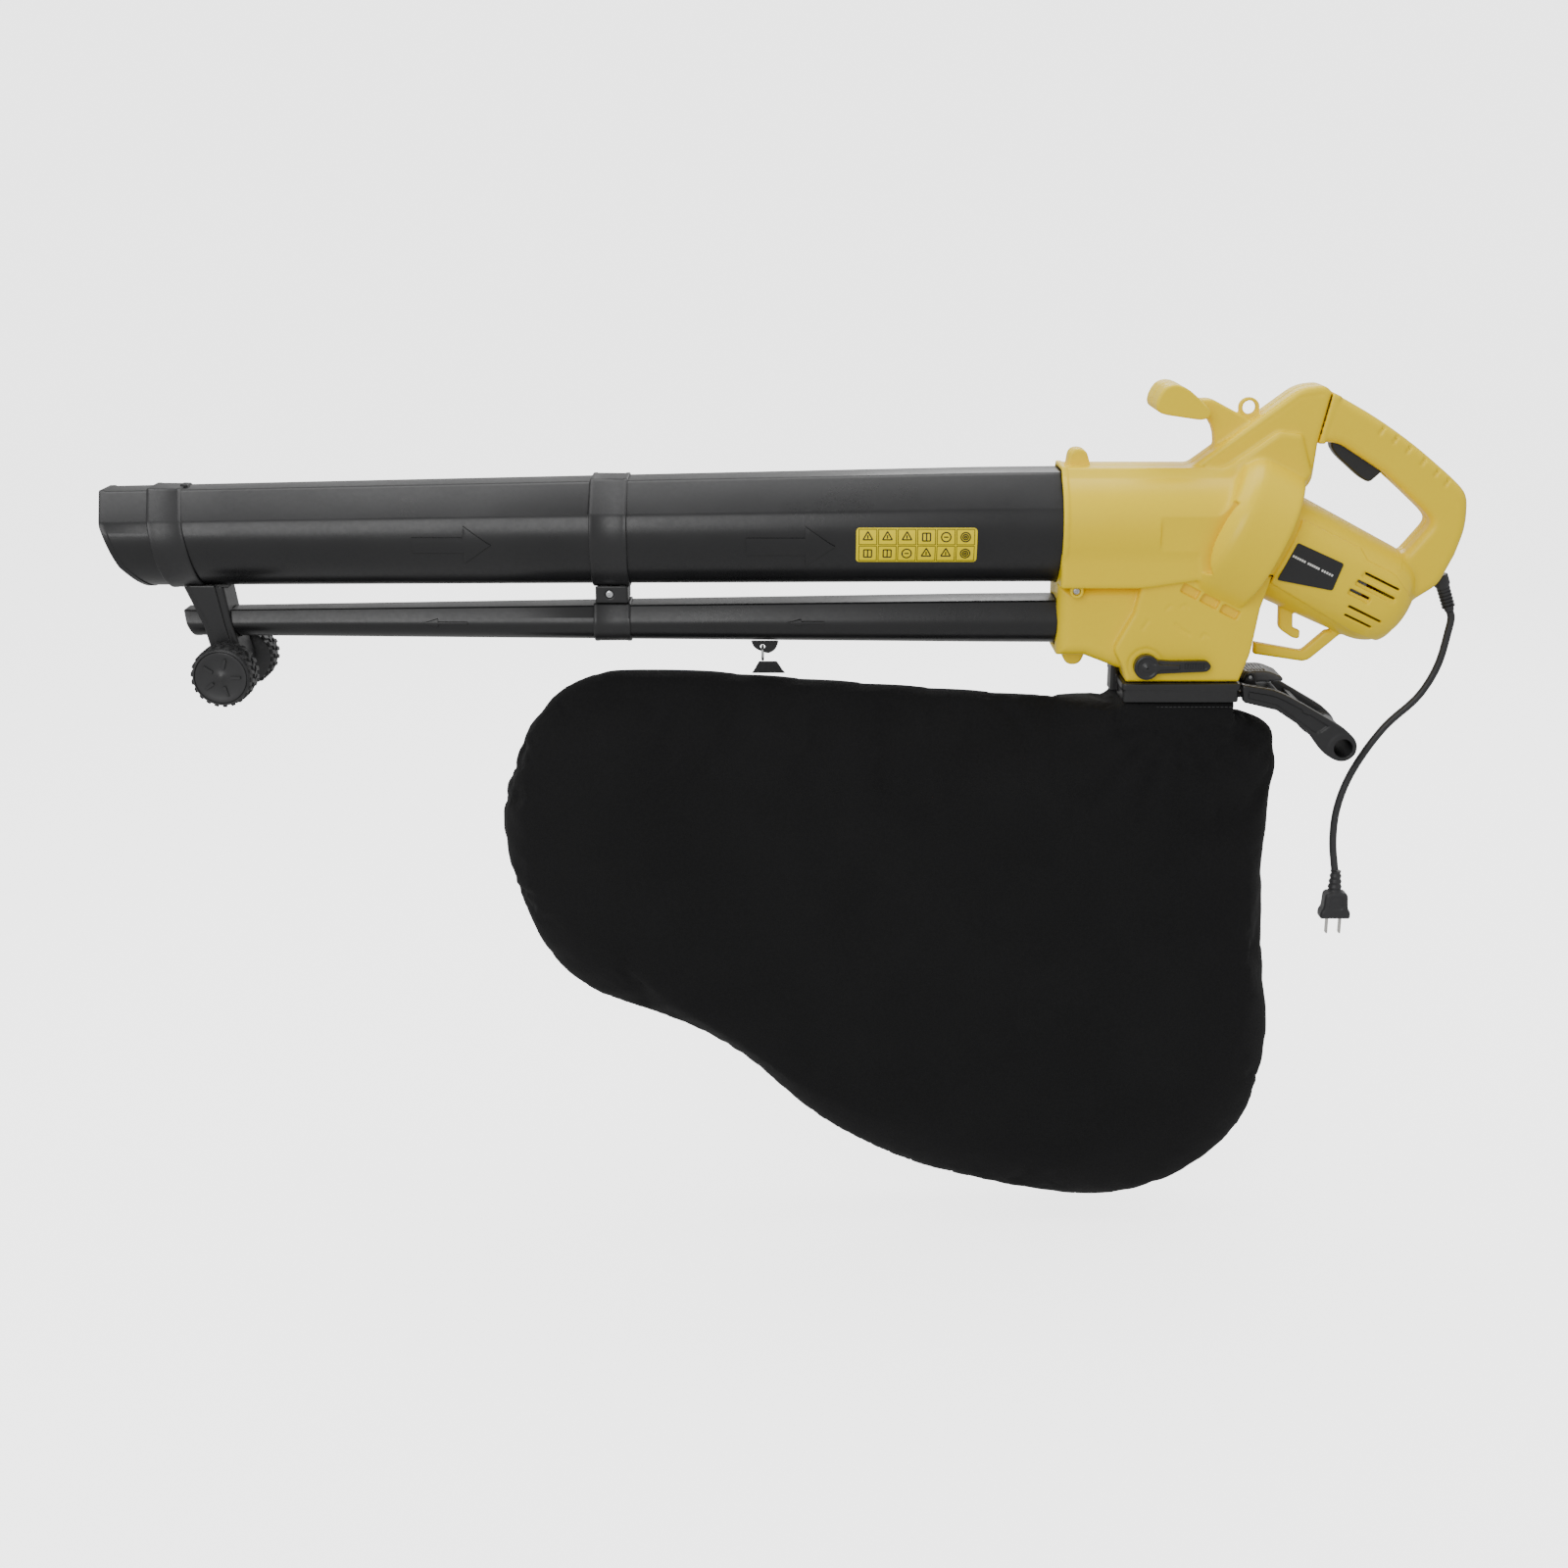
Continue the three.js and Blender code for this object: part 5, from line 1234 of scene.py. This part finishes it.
rim_part = hollow_box(frame_block, -241, -131, 48, -196, -189.4, 8.6, 4)
skirt_part = hollow_box(frame_block, -239.5, -132.5, 46.5, -207.6, -194, 7.0, 4)
tongue = frame_block.slab([(-136, -200), (-92, -200, 1), (-92, -206, 1), (-136, -206)], 34, 1)
latch_pin_x, latch_pin_z = -118, -189
ear_line = [(-124, -202), (-111, -202), (-113, -186, 2), (-116, -184.3, 2), (-121, -184.3, 2)]
ears = np.minimum(frame_block.slab(ear_line, 1.9, 0.6, 21.6), frame_block.slab(ear_line, 1.9, 0.6, -21.6))
catch = frame_block.slab([(-246, -206, 1), (-246, -169, 2), (-240.5, -169, 1), (-241, -180), (-239, -187),
                          (-239, -206)], 11, 1.2)
frame_field = np.minimum(fillet(rim_part, skirt_part, 1.0), np.minimum(fillet(tongue, ears, 1.0), catch))
frame_field = np.maximum(frame_field, -np.maximum(
    frame_block.rod(latch_pin_x, latch_pin_z, 1.95), np.abs(frame_block.y) - 40))
bag_rim = frame_block.skin("bag_rim", frame_field)
settle(bag_rim, "root", collar_black, "black_plastic", "bag_frame")


# ---- Bag latch ----
# A dark grey ribbed pad on a steel pin, sprung up to hold the rim under the outlet.
latch_grey = moulded("latch_grey", (0.050, 0.050, 0.052), (0.072, 0.072, 0.074), 0.38, 0.0014, 0.00004)
latch_block = Block((-128, -21, -197), (-84, 21, -182), 0.7)
latch_field = latch_block.slab([(-125, -192), (-122, -184.4, 3), (-101, -184.2, 5), (-86, -190.4, 3),
                                (-86, -194),
                                (-120, -195.5, 3)], 19, 2.2)
latch_field = np.maximum(latch_field, -np.maximum(
    latch_block.rod(latch_pin_x, latch_pin_z, 1.75), np.abs(latch_block.y) - 30))
latch_pad = latch_block.skin("latch_pad", latch_field)
settle(latch_pad, "latch", latch_grey, "latch_plastic", "latch_button")
latch_rib_line = [(-15, 0.35), (-14.4, 0.75), (14.4, 0.75), (15, 0.35), (15, -0.6), (-15, -0.6)]
latch_rib = item_of(loft("latch_rib", [[(x, y, z) for y, z in latch_rib_line] for x in (-0.8, 0.8)]))
latch_ribs = grown("latch_ribs", row, Item=latch_rib, Start=Vector((-0.1185, 0, -0.1846)),
                   End=Vector((-0.1035, 0, -0.1846)), Count=6, Turn=(0.0, 0.0, 0.0), Finish=latch_grey)
settle(latch_ribs, "latch", latch_grey, "latch_plastic")
recoat(zinc, "steel", "latch_pin")
latch_coil = coil_spring("latch_coil", -96, -199.6, -194.9, 3.0, 4, 0.3)
settle(latch_coil, "root", zinc, "steel", "latch_spring")
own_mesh(latch_coil)


# ---- Bag grip ----
# A black ABS fork screwed to the rim, with a hollow cross bar to empty the bag by.
handle_block = Block((-134, -50, -268), (-14, 2, -188), 1.0)
arm_line = [(-130.2, -190.6, 2), (-112, -193.6, 6), (-96, -196.5, 14), (-70, -210.5), (-30, -234, 10),
            (-20, -246, 10), (-22, -258, 10), (-34, -264.5, 10), (-50, -258, 10), (-68, -234), (-97, -215),
            (-128, -207.6, 2)]
arm = handle_block.slab(arm_line, 6, 2.2, -42)
arm_dish = handle_block.slab([(-124, -197), (-98, -201.5, 8), (-74, -214), (-48, -230), (-58, -238, 6),
                              (-72, -228),
                              (-98, -209.5), (-124, -203.5)], 2.0, 1, -48)
cross = np.maximum(handle_block.rod(-33, -251, 12), np.abs(handle_block.y) - 47.6)
grip_field = fillet(np.maximum(arm, -arm_dish), cross, 4)
grip_field = np.maximum(grip_field, -np.maximum(handle_block.rod(-33, -251, 8.6), -60 - handle_block.y))
brace = handle_block.slab([(-73, -213.4), (-66, -216.6), (-66, -219.8), (-73, -217)], 48, 1)
rear_room = handle_block.slab([(-140, -180), (-128.7, -180), (-128.7, -210.5), (-140, -210.5)], 60, 0)
tongue_room = np.maximum(np.maximum(np.abs(handle_block.x + 111) - 21.6, np.abs(handle_block.y) - 34.8),
                         np.abs(handle_block.z + 195) - 16)
grip_field = np.maximum(np.maximum(np.minimum(grip_field, brace), -tongue_room), -130.6 - handle_block.x)
grip_field = np.maximum(grip_field, handle_block.y)
near_grip = handle_block.skin("grip_near_part", grip_field)
far_grip = handle_block.skin("grip_far_part", grip_field)
bag_grip = join_pieces("bag_grip", near_grip, other_side(far_grip))
settle(bag_grip, "root", collar_black, "black_plastic", "bag_handle")


# ---- Collecting bag ----
# Two panels of black polyester sewn together all round, slack and nearly flat when empty, sewn at
# its neck round the frame's skirt. The panels bag out a little and pucker towards seam and neck.
bag_line = [(-829, -307, 120), (-824, -389, 90), (-800, -452, 90), (-752, -512, 100), (-672, -541, 120),
            (-598, -583, 120), (-522, -651, 70), (-423, -703, 120), (-266, -738, 140), (-168, -722, 110),
            (-90, -655, 120), (-66, -560, 120), (-80, -430, 80), (-84, -262, 22), (-92, -239, 14),
            (-131, -228, 14), (-240, -217, 30), (-383, -206, 80), (-548, -194, 80), (-700, -182, 80),
            (-760, -200, 60), (-800, -243, 80)]
bag_path = rounded(bag_line, 9)
bag_block = Block((-838, -48, -745), (-58, 48, -172), 4.5)
bag_flat = bag_block.drawn(bag_line)
bag_inward = np.clip(-(bag_flat + 1.5) / 105, 0, 1)
bag_half = 2.4 + 36 * np.sqrt(np.clip(1 - (1 - bag_inward) ** 2, 0, 1))
mouth_x = -186
from_mouth = np.abs(bag_block.x - mouth_x)
bag_neck_share = np.clip((bag_block.z + 300) / 95, 0, 1) * np.clip(1 - from_mouth / 110, 0, 1) ** 0.5
bag_half = bag_half + (40 - bag_half) * np.minimum(1, bag_neck_share * 1.4)
bag_thick = (np.abs(bag_block.y) - bag_half) * 0.8
bag_field = fillet(-bag_thick, -bag_flat, 5) * -1
bag_drop = np.maximum(0, -216 - bag_block.z)
bag_neck = np.maximum(from_mouth - 51 + 0.25 * bag_drop, np.abs(bag_block.y) - 43 + 0.45 * bag_drop)
bag_field = fillet(bag_field, np.maximum(bag_neck, np.abs(bag_block.z + 245) - 36.5), 14)
bag_field = np.maximum(bag_field, bag_block.z + 208.2 - 40 * (from_mouth > 54))
bag = bag_block.skin("collecting_bag", bag_field)


def puffed(piece, pressure, cap, pinned):
    """Cloth simulation of a closed fabric skin under slight air pressure, no point moving further
    than the cap in metres; the pinned points stay."""
    before = np.array([v.co for v in piece.data.vertices])
    held = piece.vertex_groups.new(name="held")
    held.add([int(i) for i in np.nonzero(pinned(before))[0]], 1.0, "REPLACE")
    sim = piece.modifiers.new("slack", "CLOTH")
    sim.settings.vertex_group_mass = "held"
    sim.settings.quality = 5
    sim.settings.mass = 0.12
    sim.settings.tension_stiffness = sim.settings.compression_stiffness = 18
    sim.settings.shear_stiffness = 8
    sim.settings.bending_stiffness = 0.4
    sim.settings.use_pressure = True
    sim.settings.uniform_pressure_force = pressure
    sim.settings.shrink_min = -0.012
    sim.settings.effector_weights.gravity = 0
    sim.collision_settings.use_collision = False
    sim.point_cache.frame_start, sim.point_cache.frame_end = 1, 20
    for step in range(1, 21):
        bpy.context.scene.frame_set(step)
    evaluated = piece.evaluated_get(bpy.context.evaluated_depsgraph_get())
    after = np.array([v.co for v in evaluated.to_mesh().vertices])
    evaluated.to_mesh_clear()
    piece.modifiers.remove(sim)
    bpy.context.scene.frame_set(1)
    move = after - before
    length = np.linalg.norm(move, axis=1, keepdims=True)
    held = np.minimum(1, cap / np.maximum(length, 1e-9))
    piece.data.vertices.foreach_set("co", (before + move * held).ravel())


puffed(bag, 1.2, 0.008, lambda at: (at[:, 2] > -0.212) | (
    (at[:, 2] > -0.236) & (np.abs(at[:, 0] + 0.186) < 0.055)))
bag_spots = np.array([v.co for v in bag.data.vertices]) * 1000
bag_normals = np.array([v.normal for v in bag.data.vertices])
edge_distance = -outline_field(bag_path, bag_spots[:, 0], bag_spots[:, 2])
middle = np.array([-186, -215])
from_neck = np.hypot(bag_spots[:, 0] - middle[0], bag_spots[:, 2] - middle[1])
angle = np.arctan2(bag_spots[:, 2] - middle[1], bag_spots[:, 0] - middle[0])
flank_side = np.sign(bag_spots[:, 1])
neck_folds = np.sin(angle * 17 + 0.9 * flank_side) * np.exp(-((from_neck - 75) / 60) ** 2) * 1.7
along_path = np.arctan2(bag_spots[:, 2] + 440, bag_spots[:, 0] + 420)
seam_pucker = np.sin(along_path * 74 + 1.3 * flank_side) * np.exp(-((edge_distance - 18) / 10) ** 2) * 0.4
long_waves = (np.sin(bag_spots[:, 0] / 83 + bag_spots[:, 2] / 61 + flank_side) *
              np.sin(bag_spots[:, 2] / 97 - bag_spots[:, 0] / 140) * 2.4 * np.clip(edge_distance / 90, 0, 1))
free = np.clip((-214 - bag_spots[:, 2]) / 14, 0, 1)
bag_spots += bag_normals * ((neck_folds + seam_pucker + long_waves) * free)[:, None]
bag.data.vertices.foreach_set("co", (bag_spots * 0.001).ravel())
bag_cloth = Finish("bag_polyester", Sheen_Weight=0.04, Sheen_Roughness=0.5, Specular_IOR_Level=0.15)


def weave(finish, pitch):
    """Plain weave: warp and weft threads standing up in turn, 0 to 1."""
    place = finish.place()
    parts = [finish.node("ShaderNodeSeparateXYZ", {}, (place,), output=i) for i in range(3)]
    warp = finish.wave((parts[0] + 0.35 * parts[1]) * (2 * math.pi / pitch))
    weft = finish.wave((parts[2] + 0.35 * parts[1]) * (2 * math.pi / pitch))
    return 0.5 + 0.5 * (warp * weft)


threads = weave(bag_cloth, 0.0011)
slubs = bag_cloth.clipped(bag_cloth.blotches(0.0028, 3.0), 0.35, 0.65)
drift = bag_cloth.clipped(bag_cloth.blotches(0.07, 3.0), 0.3, 0.7)
bag_cloth.set(Base_Color=bag_cloth.tint(threads * 0.35 + slubs * 0.4 + drift * 0.25,
                                        (0.0060, 0.0060, 0.0063), (0.0135, 0.0135, 0.0140)),
              Roughness=0.82 + 0.1 * slubs,
              Normal=bag_cloth.bump(slubs, 0.00010, bag_cloth.bump(threads, 0.00014)))
settle(bag, "root", bag_cloth.material, "bag_fabric", "bag")


# The hem at the neck is sewn down by a row of lockstitches on each side of the frame's skirt.
thread = moulded("sewing_thread", (0.030, 0.030, 0.032), (0.050, 0.050, 0.052), 0.70, 0.0006, 0.00005)
stitch_item = item_of(loft("stitch", [[(x, r * math.cos(a), r * math.sin(a))
                                       for a in np.linspace(0, 2 * math.pi, 8, endpoint=False)]
                                      for x, r in ((-1.5, 0.15), (-1.1, 0.42), (1.1, 0.42), (1.5, 0.15))]))
for y, word in ((-43.6, "near"), (43.6, "far")):
    stitches = grown("hem_stitches_" + word, row, Item=stitch_item, Start=Vector((-0.234, y / 1000, -0.2125)),
                     End=Vector((-0.139, y / 1000, -0.2125)), Count=25, Turn=(0.0, 0.0, 0.0), Finish=thread)
    settle(stitches, "root", thread, "bag_fabric")


# ---- Bag hanger ----
# The bag's front end hangs from a moulded lug under the blower tube: a zinc-plated ring through the
# lug and a tab of black webbing that is sewn into the bag's top seam.
hanger_x = -572
lug_block = Block((-590, -6, -176), (-550, 6, -152), 0.5)
blower_under = lug_block.z + 159.6
lug_field = lug_block.slab([(-585, -154), (-555, -154), (-560, -168, 4), (-567, -171.6, 3),
                            (-580, -166.4, 4)], 2.6, 0.8)
lug_field = np.maximum(lug_field, -np.maximum(lug_block.rod(hanger_x, -165, 2.5), np.abs(lug_block.y) - 9))
lug_field = np.maximum(lug_field, blower_under)
settle(lug_block.skin("hanger_lug", lug_field), "root", tube_black, "tube_plastic", "bag_lug")
ring_r, ring_z = 6.4, -171
ring_line = [(hanger_x, ring_r * math.cos(a), ring_z + ring_r * math.sin(a))
             for a in np.linspace(0, 2 * math.pi, 48, endpoint=False)]
ring_rings = []
for x, y, z in ring_line:
    ring_out = Vector((0, y / ring_r, (z - ring_z) / ring_r))
    ring_rings.append([Vector((x, y, z)) + 1.25 * (math.cos(b) * ring_out + math.sin(b) * Vector((1, 0, 0)))
                       for b in np.linspace(0, 2 * math.pi, 12, endpoint=False)])
settle(loft("hanger_ring", ring_rings, closed=True), "root", zinc, "steel", "bag_ring")
webbing = moulded("hanger_webbing", (0.012, 0.012, 0.013), (0.024, 0.024, 0.025), 0.85, 0.0012, 0.00016)
tab_rings = []
for x, z, half in ((-582, -190.2, 1.5), (-580, -187.5, 1.3), (-577, -182, 1.2), (-575.5, -179.4, 1.2)):
    across = (x + 582) * 0.5
    tab_rings.append([(x, -half, z), (x, half, z), (-551 - across * 2.4, half, z),
                      (-551 - across * 2.4, -half, z)])
settle(loft("hanger_tab", tab_rings), "root", webbing, "webbing", "bag_tab")


# ---- Floor and lights ----
# The machine hangs level in a plain white studio sweep, lit by large soft boxes. The sweep is
# bright by itself, and casts no light on the machine.
studio_white = Finish("studio_white", Base_Color=(0.90, 0.90, 0.90), Roughness=0.95, Specular_IOR_Level=0.0,
                      Emission_Color=(1.0, 1.0, 1.0), Emission_Strength=2.6)
sweep_profile = [(10, -745), (3000, -745), (6000, -745), (7500, -700), (8500, -400), (9000, 200),
                 (9200, 3500)]
sweep = loft("studio_sweep", [circle(r, 96, (-550, 0, z)) for r, z in sweep_profile])
sweep.data.flip_normals()
sweep.data.materials.append(studio_white.material)
sweep.visible_diffuse = sweep.visible_glossy = sweep.visible_shadow = False
sky = bpy.data.worlds.new("studio_air")
sky.use_nodes = True
sky.node_tree.nodes["Background"].inputs["Color"].default_value = (1.0, 1.0, 1.0, 1.0)
sky.node_tree.nodes["Background"].inputs["Strength"].default_value = 0.66
bpy.context.scene.world = sky


def soft_box(name, spot, aim, width, height, power):
    lamp = bpy.data.lights.new(name, "AREA")
    lamp.shape, lamp.size, lamp.size_y, lamp.energy = "RECTANGLE", width, height, power
    made = bpy.data.objects.new(name, lamp)
    bpy.context.collection.objects.link(made)
    made.location = spot
    made.rotation_euler = (Vector(aim) - Vector(spot)).to_track_quat("-Z", "Y").to_euler()


soft_box("top_box", (-0.6, 0.2, 1.9), (-0.55, 0, -0.1), 2.6, 1.4, 35)
soft_box("front_box", (-1.4, -2.4, 1.1), (-0.5, 0, -0.3), 1.6, 1.6, 29)
soft_box("back_box", (0.4, 2.4, 1.2), (-0.5, 0, -0.3), 1.8, 1.2, 18)
